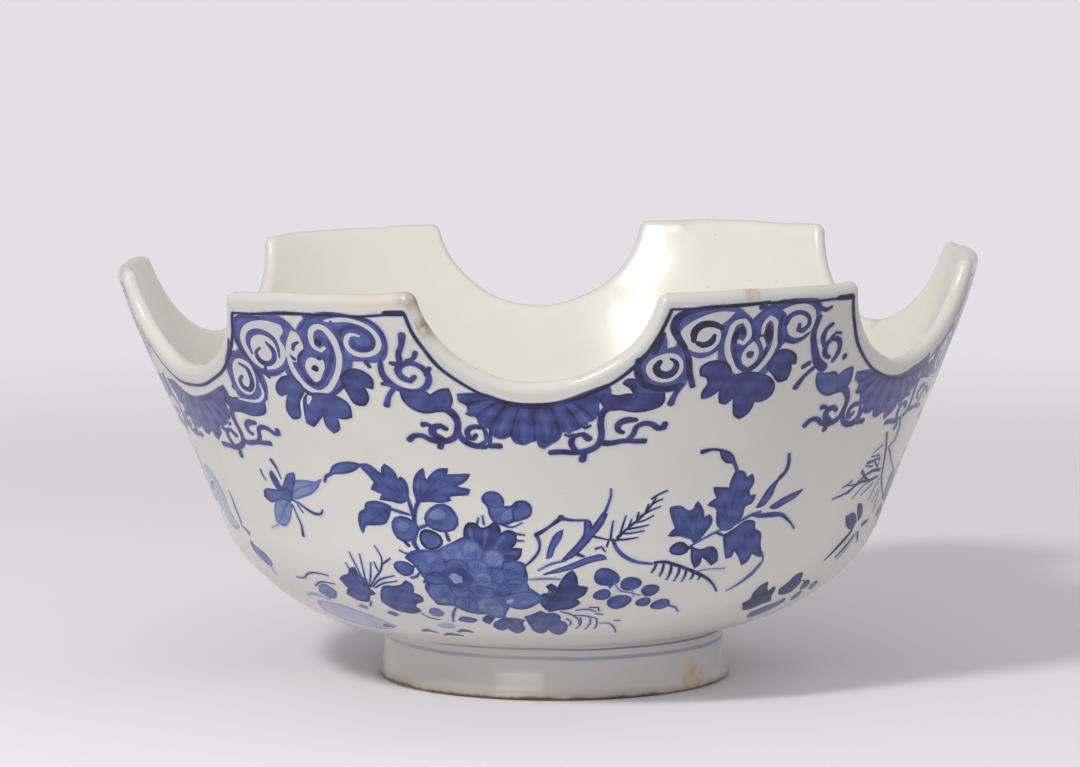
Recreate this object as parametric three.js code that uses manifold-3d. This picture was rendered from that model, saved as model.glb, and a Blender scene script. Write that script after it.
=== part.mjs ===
// Wine glass cooler (monteith): a deep round bowl of tin-glazed earthenware on a separate foot ring.
// Six round notches are cut into its rim. Wine glasses hang in them by their feet, bowls down in cold water.
// Millimetres, +Z up. The origin is on the axis, in the plane that the foot ring stands on.
// The middle of the first notch faces -Y.

import * as THREE from "three";
import { mergeVertices } from "three/addons/utils/BufferGeometryUtils.js";
import Module from "manifold-3d";

// Bowl: overall sizes
const BOWL_HEIGHT = 161.5; // standing plane to the crest of the rim
const RIM_RADIUS = 164; // outermost reach of the rim
const RIM_LEAN = 16.6; // degrees that the wall leans outward at the rim
const LIP_THICKNESS = 5.6; // wall at the rim, rounded over
const BASE_THICKNESS = 8; // wall where it meets the foot ring

// Bowl: turn of the wall, from the shallow underside into the steep side
const TURN_RADIUS = 124.7;
const TURN_HEIGHT = 60.4;
const TURN_LEAN = 20.5; // degrees outward from upright at the turn
const UNDERSIDE_RISE = 5; // degrees above level where the wall leaves the foot ring
const UNDERSIDE_PULL = 29.3; // handle of the curve at the foot ring
const TURN_PULL_BELOW = 18.2; // handles of the curves at the turn
const TURN_PULL_ABOVE = 39.6;
const RIM_PULL = 35; // handle of the curve at the rim

// Notches
const NOTCH_COUNT = 6;
const NOTCH_WIDTH = 89; // between the corners of its two merlons, straight across
const NOTCH_DEPTH = 36.5; // from the crest, down the slant of the wall
const NOTCH_LEAN = 20; // degrees that the cut is tipped, to stand square to the wall
const CORNER_RADIUS = 4; // rounding of each merlon's corners

// Foot ring
const FOOT_HEIGHT = 18.7;
const FOOT_BASE_RADIUS = 66.7; // outer radius just above the standing edge
const FOOT_WAIST_RADIUS = 64.6; // outer radius under the bowl
const FOOT_TOP_WALL = 7; // thickness under the bowl
const FOOT_STANDING_WALL = 5.2; // flat width that it stands on
const FOOT_EDGE_RADIUS = 1.2; // rounding of the standing edge
const FOOT_SEAT_MARGIN = 0.7; // the bowl's flat seat reaches this far past the foot ring

// Facets
const TURNS = 72; // round the axis, a multiple of the notch count
const UNDERSIDE_STEPS = 10;
const SIDE_STEPS = 8;
const LIP_STEPS = 5;
const FOOT_STEPS = 5;
const NOTCH_STEPS = 26;
const CORNER_STEPS = 4;

const radians = THREE.MathUtils.degToRad;
const point = (x, y) => new THREE.Vector2(x, y);

// A point at a distance from another, in a direction counted from level outward, in degrees
function along(start, degrees, distance) {
  const angle = radians(degrees);
  return point(start.x + Math.cos(angle) * distance, start.y + Math.sin(angle) * distance);
}

// Revolve a section of (radius, height) points about +Z
function revolve(section) {
  const geometry = new THREE.LatheGeometry(section, TURNS);
  return geometry.rotateX(Math.PI / 2);
}

const lipRadius = LIP_THICKNESS / 2;
const lipCentre = point(RIM_RADIUS - lipRadius, BOWL_HEIGHT - lipRadius);
const seatRadius = FOOT_WAIST_RADIUS + FOOT_SEAT_MARGIN;

// The outer face of the wall: one curve from the seat to the turn and one from the turn to the rim
function outerWall() {
  const seat = point(seatRadius, FOOT_HEIGHT);
  const turn = point(TURN_RADIUS, TURN_HEIGHT);
  const rim = along(lipCentre, -RIM_LEAN, lipRadius);
  const underside = new THREE.CubicBezierCurve(
    seat,
    along(seat, UNDERSIDE_RISE, UNDERSIDE_PULL),
    along(turn, 90 - TURN_LEAN, -TURN_PULL_BELOW),
    turn,
  );
  const side = new THREE.CubicBezierCurve(
    turn,
    along(turn, 90 - TURN_LEAN, TURN_PULL_ABOVE),
    along(rim, 90 - RIM_LEAN, -RIM_PULL),
    rim,
  );
  return { underside, side };
}

// Points of the outer face, and of the inner face at the wall's thickness behind it
function wallFaces() {
  const { underside, side } = outerWall();
  const wholeLength = underside.getLength() + side.getLength();
  const outer = [];
  const inner = [];
  let covered = 0;
  for (const [curve, steps] of [[underside, UNDERSIDE_STEPS], [side, SIDE_STEPS]]) {
    const first = curve === underside ? 0 : 1;
    for (let step = first; step <= steps; step += 1) {
      const share = step / steps;
      const place = curve.getPointAt(share);
      const run = curve.getTangentAt(share);
      const climbed = (covered + share * curve.getLength()) / wholeLength;
      const thickness = THREE.MathUtils.lerp(BASE_THICKNESS, LIP_THICKNESS, climbed);
      outer.push(place);
      inner.push(point(place.x - run.y * thickness, place.y + run.x * thickness));
    }
    covered += curve.getLength();
  }
  return { outer, inner };
}

// The bowl before its notches are cut, as one closed section that starts and ends on the axis
function thrownBowl() {
  const { outer, inner } = wallFaces();
  const section = [point(0, FOOT_HEIGHT), ...outer];
  for (let step = 1; step < LIP_STEPS; step += 1) {
    section.push(along(lipCentre, -RIM_LEAN + (180 * step) / LIP_STEPS, lipRadius));
  }
  section.push(...inner.reverse());
  section.push(point(0, FOOT_HEIGHT + BASE_THICKNESS));
  return revolve(section);
}

// Outline of a notch cutter on a plane square to the cut: across, and up the slant of the wall.
// Its origin is the centre of the lip's round, over the middle of the notch.
function notchOutline() {
  const halfWidth = NOTCH_WIDTH / 2;
  const sagitta = lipCentre.x - Math.sqrt(lipCentre.x ** 2 - halfWidth ** 2);
  const drop = sagitta * Math.sin(radians(NOTCH_LEAN));
  const depth = NOTCH_DEPTH - drop;
  const radius = (halfWidth ** 2 + depth ** 2) / (2 * depth);
  const middle = lipRadius - NOTCH_DEPTH + radius;
  const fillet = point(0, lipRadius - drop - CORNER_RADIUS);
  fillet.x = Math.sqrt((radius + CORNER_RADIUS) ** 2 - (middle - fillet.y) ** 2);
  const lean = Math.atan2(fillet.y - middle, fillet.x);
  const right = [];
  for (let step = 0; step <= NOTCH_STEPS / 2; step += 1) {
    const angle = THREE.MathUtils.lerp(-Math.PI / 2, lean, (2 * step) / NOTCH_STEPS);
    right.push(point(radius * Math.cos(angle), middle + radius * Math.sin(angle)));
  }
  for (let step = 1; step <= CORNER_STEPS; step += 1) {
    const angle = THREE.MathUtils.lerp(lean + Math.PI, Math.PI / 2, step / CORNER_STEPS);
    right.push(point(fillet.x + CORNER_RADIUS * Math.cos(angle), fillet.y + CORNER_RADIUS * Math.sin(angle)));
  }
  right.push(point(fillet.x, NOTCH_DEPTH));
  const left = right.slice(1).reverse().map((place) => point(-place.x, place.y));
  return new THREE.Shape([...left, ...right]);
}

// A notch cutter stands square to the wall and reaches well clear of both of its faces
function notchCutter(turn) {
  const reach = NOTCH_WIDTH / 2;
  const geometry = new THREE.ExtrudeGeometry(notchOutline(), { depth: 2 * reach, bevelEnabled: false });
  geometry.translate(0, 0, -reach);
  geometry.rotateX(Math.PI / 2 - radians(NOTCH_LEAN));
  geometry.translate(0, -lipCentre.x, lipCentre.y);
  geometry.rotateZ(turn);
  return geometry;
}

const wasm = await Module();
wasm.setup();

// A closed geometry as a solid that can be cut
function toSolid(geometry) {
  geometry.deleteAttribute("normal");
  geometry.deleteAttribute("uv");
  const merged = mergeVertices(geometry);
  const corners = merged.index.array;
  const faces = [];
  for (let first = 0; first < corners.length; first += 3) {
    const [a, b, c] = corners.slice(first, first + 3);
    const isFace = a !== b && b !== c && c !== a;
    if (isFace) faces.push(a, b, c);
  }
  const vertProperties = new Float32Array(merged.attributes.position.array);
  return new wasm.Manifold(new wasm.Mesh({ numProp: 3, vertProperties, triVerts: new Uint32Array(faces) }));
}

function toGeometry(solid) {
  const mesh = solid.getMesh();
  const geometry = new THREE.BufferGeometry();
  geometry.setAttribute("position", new THREE.BufferAttribute(mesh.vertProperties, 3));
  geometry.setIndex(new THREE.BufferAttribute(mesh.triVerts, 1));
  return geometry;
}

// The bowl's body: thrown, then six notches cut through its rim
function bowlBody() {
  let body = toSolid(thrownBowl());
  for (let notch = 0; notch < NOTCH_COUNT; notch += 1) {
    body = body.subtract(toSolid(notchCutter((2 * Math.PI * notch) / NOTCH_COUNT)));
  }
  const glaze = new THREE.MeshStandardMaterial({ color: 0xe6e3dc, roughness: 0.22, metalness: 0 });
  const mesh = new THREE.Mesh(toGeometry(body), glaze);
  mesh.name = "bowl_body";
  return mesh;
}

// The foot ring: a turned ring, flared a little to its rounded standing edge
function footRing() {
  const waist = point(FOOT_WAIST_RADIUS, FOOT_HEIGHT);
  const foot = point(FOOT_BASE_RADIUS, FOOT_EDGE_RADIUS);
  const flare = new THREE.QuadraticBezierCurve(foot, point(FOOT_WAIST_RADIUS, FOOT_HEIGHT / 3), waist);
  const outerEdge = point(FOOT_BASE_RADIUS - FOOT_EDGE_RADIUS, FOOT_EDGE_RADIUS);
  const innerEdge = point(outerEdge.x - FOOT_STANDING_WALL, FOOT_EDGE_RADIUS);
  const section = [];
  for (let step = 0; step <= CORNER_STEPS; step += 1) {
    section.push(along(innerEdge, 180 + (90 * step) / CORNER_STEPS, FOOT_EDGE_RADIUS));
  }
  for (let step = 0; step < CORNER_STEPS; step += 1) {
    section.push(along(outerEdge, 270 + (90 * step) / CORNER_STEPS, FOOT_EDGE_RADIUS));
  }
  section.push(...flare.getPoints(FOOT_STEPS));
  section.push(point(FOOT_WAIST_RADIUS - FOOT_TOP_WALL, FOOT_HEIGHT));
  section.push(section[0].clone());
  const glaze = new THREE.MeshStandardMaterial({ color: 0xe0dcd4, roughness: 0.3, metalness: 0 });
  const mesh = new THREE.Mesh(toGeometry(toSolid(revolve(section))), glaze);
  mesh.name = "foot_ring";
  return mesh;
}

const cooler = new THREE.Group();
cooler.add(bowlBody(), footRing());

export default cooler;
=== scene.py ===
# Looks of the wine glass cooler (monteith): the glazed bowl and foot ring, and their cobalt painting.
# Sizes are in millimetres until a mesh is made, and then in metres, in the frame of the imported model.

import math

import bpy
import numpy as np
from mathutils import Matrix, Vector
from mathutils.geometry import delaunay_2d_cdt


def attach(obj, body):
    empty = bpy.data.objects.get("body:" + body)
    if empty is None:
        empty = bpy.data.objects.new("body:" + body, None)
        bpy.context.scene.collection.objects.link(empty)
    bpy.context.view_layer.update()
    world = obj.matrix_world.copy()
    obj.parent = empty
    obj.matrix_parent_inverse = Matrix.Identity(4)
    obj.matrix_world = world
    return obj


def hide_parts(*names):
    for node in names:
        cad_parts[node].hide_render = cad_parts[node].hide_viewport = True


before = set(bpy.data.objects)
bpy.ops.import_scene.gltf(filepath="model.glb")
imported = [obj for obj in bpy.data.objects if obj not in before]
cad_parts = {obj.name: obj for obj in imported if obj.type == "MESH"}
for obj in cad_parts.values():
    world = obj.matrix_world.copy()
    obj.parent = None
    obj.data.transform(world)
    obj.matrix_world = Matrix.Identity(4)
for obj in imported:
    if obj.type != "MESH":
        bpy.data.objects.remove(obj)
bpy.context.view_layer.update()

MM = 0.001

# Wall of the bowl, as in the CAD part
BOWL_HEIGHT = 161.5
RIM_RADIUS = 164.0
RIM_LEAN = 16.6
LIP_THICKNESS = 5.6
BASE_THICKNESS = 8.0
TURN = (124.7, 60.4)
TURN_LEAN = 20.5
SEAT = (65.3, 18.7)
UNDERSIDE_RISE = 5.0
UNDERSIDE_PULL = 29.3
TURN_PULL_BELOW = 18.2
TURN_PULL_ABOVE = 39.6
RIM_PULL = 35.0

# Notches as they were cut by hand: middle and half width (in degrees round the axis), depth below the crest,
# and how far the corners on its left and right lie below the crest
NOTCHES = (
    (-1.35, 15.75, 36.6, 0.4, 2.1),
    (59.6, 16.3, 36.4, 2.1, 0.6),
    (120.4, 16.5, 36.6, 0.8, -0.4),
    (181.0, 15.1, 37.4, 1.3, 1.9),
    (240.8, 16.5, 38.4, 2.3, 2.6),
    (299.1, 15.8, 36.5, 1.2, 3.2),
)
CORNER_RADIUS = 4.0

# Foot ring, as in the CAD part
FOOT_BASE_RADIUS = 66.7
FOOT_WAIST_RADIUS = 64.6
FOOT_INNER_TOP = 57.6
FOOT_STANDING_WALL = 5.2
FOOT_EDGE_RADIUS = 1.2

# The drawing sheet that the painting is laid out on: across is a turn round the axis, up is the slant of the wall
SHEET_RADIUS = 130.0
PITCH = SHEET_RADIUS * math.pi / 3
WHOLE_TURN = 6 * PITCH

# The joint of bowl and foot as it was made: higher than in the CAD part, and more so on the right.
# The standing edge stays level, and the difference is lost again a little way up the wall.
SEAT_RISE = 1.5
SEAT_TILT = 0.016
SEAT_RISE_FROM = 1.5
SEAT_RISE_UNTIL = 52.0

# How the hand-thrown bowl leans and waves. A swell is a share of the radius at the rim, its count round the axis
# and its start in radians.
THROWN_HEIGHT = 160.0
SIDE_LEAN = -0.018
RIM_TILT = 0.0125
RIM_WAVE = 0.45
SWELLS = ((0.0030, 2, 0.6), (0.0016, 3, 2.0))
THROWING_RING = 0.0009
THROWING_RING_RISE = 5.3

# Camera, as fitted to the photograph
LENS = 178.32
CAMERA_PLACE = (-0.00554, -2.0277, 0.3362)
CAMERA_PITCH = 6.3305


# Shape of the wall

def toward(start, degrees, distance):
    angle = math.radians(degrees)
    return (start[0] + math.cos(angle) * distance, start[1] + math.sin(angle) * distance)


def bezier(a, b, c, d, steps):
    t = np.linspace(0, 1, steps)[:, None]
    a, b, c, d = (np.array(p, float) for p in (a, b, c, d))
    return (1 - t) ** 3 * a + 3 * (1 - t) ** 2 * t * b + 3 * (1 - t) * t * t * c + t**3 * d


LIP_RADIUS = LIP_THICKNESS / 2
LIP_CENTRE = (RIM_RADIUS - LIP_RADIUS, BOWL_HEIGHT - LIP_RADIUS)
RIM = toward(LIP_CENTRE, -RIM_LEAN, LIP_RADIUS)
SEAT_HANDLE = toward(SEAT, UNDERSIDE_RISE, UNDERSIDE_PULL)
LOWER_TURN_HANDLE = toward(TURN, 90 - TURN_LEAN, -TURN_PULL_BELOW)
UPPER_TURN_HANDLE = toward(TURN, 90 - TURN_LEAN, TURN_PULL_ABOVE)
RIM_HANDLE = toward(RIM, 90 - RIM_LEAN, -RIM_PULL)
CURVE_STEPS = 400
WALL_LINE = np.vstack((
    bezier(SEAT, SEAT_HANDLE, LOWER_TURN_HANDLE, TURN, CURVE_STEPS),
    bezier(TURN, UPPER_TURN_HANDLE, RIM_HANDLE, RIM, CURVE_STEPS)[1:],
))
WALL_RUN = np.concatenate(([0.0], np.cumsum(np.hypot(*np.diff(WALL_LINE, axis=0).T))))
WALL_LENGTH = WALL_RUN[-1]
WALL_SLOPE = np.gradient(WALL_LINE, WALL_RUN, axis=0)


def settle(points):
    """The bowl as it was thrown, leaning and waving a little. Takes points in millimetres, returns them in metres."""
    x, y, z = points.T
    seat_share = np.interp(z, (SEAT_RISE_FROM, SEAT[1], SEAT_RISE_UNTIL), (0.0, 1.0, 0.0))
    z = z + (SEAT_RISE + SEAT_TILT * x) * seat_share
    share = z / THROWN_HEIGHT
    turn = np.arctan2(x, -y)
    swell = 1 + share * sum(size * np.cos(count * turn + start) for size, count, start in SWELLS)
    ripple = THROWING_RING * np.sin(z / THROWING_RING_RISE + 0.7 * np.sin(2 * turn)) * np.clip(share * 2, 0, 1)
    leaned_x = x * (swell + ripple) + SIDE_LEAN * z
    leaned_y = y * (swell + ripple)
    leaned_z = z + RIM_TILT * x * share + RIM_WAVE * share * np.sin(2 * turn + 1.1)
    return np.stack((leaned_x, leaned_y, leaned_z), axis=1) * MM


def wall_points(turn, up, lift):
    """Points at a turn round the axis (radians), a height up the slant and a lift off the outer face."""
    turn, up = np.broadcast_arrays(np.asarray(turn, float), np.asarray(up, float))
    radius = np.interp(up, WALL_RUN, WALL_LINE[:, 0])
    height = np.interp(up, WALL_RUN, WALL_LINE[:, 1])
    slope_r = np.interp(up, WALL_RUN, WALL_SLOPE[:, 0])
    slope_z = np.interp(up, WALL_RUN, WALL_SLOPE[:, 1])
    radius = radius + slope_z * lift
    height = height - slope_r * lift
    return np.stack((radius * np.sin(turn), -radius * np.cos(turn), height), axis=-1)


def thickness(up):
    return BASE_THICKNESS + (LIP_THICKNESS - BASE_THICKNESS) * np.clip(up / WALL_LENGTH, 0, 1)


# Meshes

def place_object(name, mesh, material):
    mesh.materials.append(material)
    obj = bpy.data.objects.new(name, mesh)
    bpy.context.scene.collection.objects.link(obj)
    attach(obj, "root")
    return obj


def mesh_object(name, points, faces, material, nodes):
    """A smooth object of points in metres, in the place of nodes of the CAD part."""
    mesh = bpy.data.meshes.new(name)
    mesh.from_pydata(points.tolist(), [], faces)
    mesh.validate()
    mesh.polygons.foreach_set("use_smooth", [True] * len(mesh.polygons))
    obj = place_object(name, mesh, material)
    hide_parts(*nodes)
    return obj


def ring_faces(rows, columns):
    """Quads between rows of points that close round the axis."""
    faces = []
    for row in range(rows - 1):
        for column in range(columns):
            after = (column + 1) % columns
            low, high = row * columns, (row + 1) * columns
            faces.append((low + column, low + after, high + after, high + column))
    return faces


# Outline of the rim

ARC_STEPS = 58
FILLET_STEPS = 6
RAISED_STEPS = 50
RIM_WAVES = ((0.35, 7, 1.0), (0.25, 17, 0.0), (0.12, 41, 2.0))  # height, count round the axis, start


def notch_line(half_width, depth):
    """Right half of a notch: points on the middle of the lip and the ways they face, from the rim's own height."""
    half = LIP_CENTRE[0] * math.sin(math.radians(half_width))
    radius = (half**2 + depth**2) / (2 * depth)
    middle = LIP_RADIUS - depth + radius
    arc = radius + LIP_RADIUS
    fillet = CORNER_RADIUS - LIP_RADIUS
    fillet_up = -fillet
    fillet_across = math.sqrt((arc + fillet) ** 2 - (middle - fillet_up) ** 2)
    lean = math.atan2(fillet_up - middle, fillet_across)
    line = []
    for step in range(ARC_STEPS // 2 + 1):
        a = -math.pi / 2 + (lean + math.pi / 2) * step / (ARC_STEPS // 2)
        line.append((arc * math.cos(a), middle + arc * math.sin(a), -math.cos(a), -math.sin(a)))
    for step in range(1, FILLET_STEPS + 1):
        a = lean + math.pi + (math.pi / 2 - lean - math.pi) * step / FILLET_STEPS
        way_across, way_up = math.cos(a), math.sin(a)
        line.append((fillet_across + fillet * way_across, fillet_up + fillet * way_up, way_across, way_up))
    return line


def rim_outline():
    """Turn, height up the slant and facing (across, up) of the lip's middle line, once round from the first notch."""
    turns, ups, across, rise = [], [], [], []
    for number, (middle, half_width, depth, drop_left, drop_right) in enumerate(NOTCHES):
        right = notch_line(half_width, depth)
        whole = [(-x, y, -dx, dy) for x, y, dx, dy in reversed(right[1:])] + right
        centre = math.radians(middle)
        for x, y, dx, dy in whole:
            up = WALL_LENGTH + y - (drop_left if x < 0 else drop_right) * max(0.0, 1 + y / depth) ** 1.5
            radius = float(np.interp(up, WALL_RUN, WALL_LINE[:, 0]))
            turns.append(centre + math.asin(x / radius))
            ups.append(up)
            across.append(dx)
            rise.append(dy)
        start = turns[-1]
        after = NOTCHES[(number + 1) % 6]
        corner = math.asin(notch_line(after[1], after[2])[-1][0] / LIP_CENTRE[0])
        end = math.radians(after[0] + (360 if number == 5 else 0)) - corner
        for step in range(1, RAISED_STEPS):
            share = step / RAISED_STEPS
            turns.append(start + (end - start) * share)
            ups.append(WALL_LENGTH - drop_right - (after[3] - drop_right) * share)
            across.append(0.0)
            rise.append(1.0)
    turns, ups = np.array(turns), np.array(ups)
    for size, count, start in RIM_WAVES:
        ups = ups + size * np.sin(count * turns + start)
    return turns, ups, np.array(across), np.array(rise)


# Rows of the bowl's skin. Up to LEVEL_UNTIL on the slant they run level, and above it they pass into the rim.
BASE_RINGS = (4.0, 18.0, 33.0, 48.0, 57.0, 62.0)
FLOOR_RINGS = (60.0, 48.0, 33.0, 18.0, 4.0)
LEVEL_UNTIL = 100.0
LEVEL_ROWS = 25
RIM_ROWS = 27
LIP_STEPS = 10
EDGE_FADE = 12  # the higher, the closer to the rim the "edge" attribute keeps


def rim_lip(turns, ups, across, rise):
    """The middle of the lip, half its thickness outward, and the way that its round faces, for each column."""
    outer = wall_points(turns, ups, 0.0)
    inner = wall_points(turns, ups, -thickness(ups))
    half = (outer - inner) / 2
    level = np.stack((np.cos(turns), np.sin(turns), np.zeros(len(turns))), axis=1)
    steep_r = np.interp(ups, WALL_RUN, WALL_SLOPE[:, 0])
    steep_z = np.interp(ups, WALL_RUN, WALL_SLOPE[:, 1])
    steep = np.stack((steep_r * np.sin(turns), -steep_r * np.cos(turns), steep_z), axis=1)
    facing = (level * across[:, None] + steep * rise[:, None]) * np.linalg.norm(half, axis=1)[:, None]
    return (outer + inner) / 2, half, facing


def bowl_mesh(material):
    """The bowl as one closed skin: underside, outer wall up to the rim's outline, rounded lip, inner wall, floor."""
    turns, ups, across, rise = rim_outline()
    columns = len(turns)
    even = turns[0] + np.linspace(0, 2 * math.pi, columns, endpoint=False)
    level_shares = np.linspace(0, 1, LEVEL_ROWS)
    rim_shares = np.linspace(0, 1, RIM_ROWS)[1:]
    rows, edges, insides = [], [], []

    def add(points, edge=0.0, inside=0.0):
        rows.append(settle(points))
        edges.append(np.full(columns, edge))
        insides.append(np.full(columns, inside))

    def add_ring(radius, height, inside):
        ring = np.stack((radius * np.sin(even), -radius * np.cos(even), np.full(columns, height)), axis=1)
        add(ring, 0.0, inside)

    def toward_rim(share):
        return even + (turns - even) * share, LEVEL_UNTIL + (ups - LEVEL_UNTIL) * share

    for radius in BASE_RINGS:
        add_ring(radius, SEAT[1], 0.0)
    for share in level_shares:
        add(wall_points(even, LEVEL_UNTIL * share, 0.0))
    for share in rim_shares:
        add(wall_points(*toward_rim(share), 0.0), share**EDGE_FADE)
    centre, half, facing = rim_lip(turns, ups, across, rise)
    for step in range(1, LIP_STEPS):
        a = math.pi * step / LIP_STEPS
        add(centre + half * math.cos(a) + facing * math.sin(a), 1.0, step / LIP_STEPS)
    for share in rim_shares[::-1]:
        turn, up = toward_rim(share)
        add(wall_points(turn, up, -thickness(up)), share**EDGE_FADE, 1.0)
    for share in level_shares[::-1]:
        add(wall_points(even, LEVEL_UNTIL * share, -thickness(LEVEL_UNTIL * share)), 0.0, 1.0)
    for radius in FLOOR_RINGS:
        add_ring(radius, SEAT[1] + BASE_THICKNESS, 1.0)
    faces = ring_faces(len(rows), columns)
    first_top = (len(rows) - 1) * columns
    middle = len(rows) * columns
    for column in range(columns):
        after = (column + 1) % columns
        faces.append((middle, after, column))
        faces.append((middle + 1, first_top + column, first_top + after))
    middles = settle(np.array([[0, 0, SEAT[1]], [0, 0, SEAT[1] + BASE_THICKNESS]], float))
    points = np.vstack((*rows, middles))
    obj = mesh_object("bowl_glazed", points, faces, material, ("bowl_body",))
    # The inside attribute places the painted light of the lighter inside glaze; edge marks the worn rim
    for name, values in (("edge", (*edges, [0, 0])), ("inside", (*insides, [0, 1]))):
        attribute = obj.data.attributes.new(name, "FLOAT", "POINT")
        attribute.data.foreach_set("value", np.concatenate(values).astype(np.float32))


FOOT_COLUMNS = 240
FOOT_ROUND_STEPS = 8
FOOT_WAVE = 0.0022  # shares of the radius, by hand and by the turning tool
FOOT_RIPPLE = 0.0008
FOOT_FLARE = ((65.3, 6.6), (64.6, 12.4), (FOOT_WAIST_RADIUS, 17.0))  # from the standing edge up to the waist
FOOT_BEAD = ((64.75, 17.7), (65.1, 18.3), (65.6, 18.7), (65.2, 19.1))  # slip pressed out under the bowl
FOOT_HOLLOW = ((FOOT_INNER_TOP - 0.3, 19.2), (FOOT_INNER_TOP, 18.6), (FOOT_INNER_TOP + 0.2, 14.0), (58.3, 7.0))


def foot_mesh(material):
    """The foot ring: turned, with a soft standing edge and a bead of slip where it is luted under the bowl."""
    inner_edge = FOOT_BASE_RADIUS - FOOT_EDGE_RADIUS - FOOT_STANDING_WALL
    outer_edge = FOOT_BASE_RADIUS - FOOT_EDGE_RADIUS
    section = []

    def round_edge(middle, start):
        for step in range(FOOT_ROUND_STEPS + 1):
            a = start + math.pi / 2 * step / FOOT_ROUND_STEPS
            section.append((middle + FOOT_EDGE_RADIUS * math.cos(a), FOOT_EDGE_RADIUS * (1 + math.sin(a))))

    round_edge(inner_edge, math.pi)
    section += [(inner_edge + FOOT_STANDING_WALL * share, 0.0) for share in (0.25, 0.5, 0.75)]
    round_edge(outer_edge, -math.pi / 2)
    section += [tuple(p) for p in bezier((FOOT_BASE_RADIUS, FOOT_EDGE_RADIUS), *FOOT_FLARE, 14)[1:]]
    section += [*FOOT_BEAD, *FOOT_HOLLOW]
    turns = np.linspace(0, 2 * math.pi, FOOT_COLUMNS, endpoint=False)
    rows = []
    for radius, height in section:
        wave = 1 + FOOT_WAVE * np.sin(2 * turns + 0.4) * (height / 19) + FOOT_RIPPLE * np.sin(height * 1.1)
        level = np.full(FOOT_COLUMNS, height)
        rows.append(np.stack((radius * wave * np.sin(turns), -radius * wave * np.cos(turns), level), axis=1))
    faces = ring_faces(len(rows), FOOT_COLUMNS)
    last = (len(rows) - 1) * FOOT_COLUMNS
    for column in range(FOOT_COLUMNS):
        after = (column + 1) % FOOT_COLUMNS
        faces.append((last + column, last + after, after, column))
    mesh_object("foot_glazed", settle(np.vstack(rows)), faces, material, ("foot_ring",))


# Painting

STROKE_STEP = 1.3  # between the points of a smooth line
SHARP_TURN = 62  # degrees between two points from which a line keeps its corner
SOFT_EDGE = 0.22  # width of the paler edge of a stroke
SOFT_EDGE_TONE = 0.40
BLEED_WIDTH = 1.3  # how far the colour has bled into the glaze, and its tone there
BLEED = 0.16
PAINT_LIFT = 0.10  # of a painted skin's face off the wall, and of its back into the wall
PAINT_DEPTH = 0.15
GRID = 3.6  # of the points that let a wide shape follow the wall
DOT_SIDES = 14
STROKE_END = 0.4  # a stroke ends this share of its width past its last point
RIM_MARGIN = 0.25  # bare glaze between the painting and the rim's outline

# Tones of the brush, from 0 for bare glaze to 1 for the darkest
RIM_LINE = 0.98
LINE = 0.93
DEEP = 0.80
MID = 0.66
WASH = 0.50
PALE = 0.34
RESERVE = 0.07


def smooth(line, closed=False):
    """A drawn line through the points: a curve, but for its sharp corners."""
    pts = np.array(line, float)
    count = len(pts)
    if count < 3:
        closed = False
    ways = np.roll(pts, -1, axis=0) - pts
    lengths = np.maximum(np.hypot(ways[:, 0], ways[:, 1]), 1e-6)
    units = ways / lengths[:, None]
    tangents_in = np.zeros_like(pts)
    tangents_out = np.zeros_like(pts)
    for i in range(count):
        first, last = i == 0 and not closed, i == count - 1 and not closed
        before = units[i] if first else units[i - 1]
        after = units[i - 1] if last else units[i]
        turn = math.degrees(math.acos(max(-1.0, min(1.0, float(before @ after)))))
        if turn > SHARP_TURN:
            tangents_in[i], tangents_out[i] = before, after
        else:
            mean = before * lengths[i] + after * lengths[i - 1] if not (first or last) else before
            tangents_in[i] = tangents_out[i] = mean / max(float(np.hypot(*mean)), 1e-6)
    out = []
    for i in range(count if closed else count - 1):
        j = (i + 1) % count
        n = max(1, math.ceil(lengths[i] / STROKE_STEP))
        for k in range(n):
            t = k / n
            a, b = 2 * t**3 - 3 * t**2 + 1, t**3 - 2 * t**2 + t
            c, d = -2 * t**3 + 3 * t**2, t**3 - t**2
            start = a * pts[i] + b * tangents_out[i] * lengths[i]
            out.append(start + c * pts[j] + d * tangents_in[j] * lengths[i])
    if not closed:
        out.append(pts[-1])
    return np.array(out)


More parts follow.
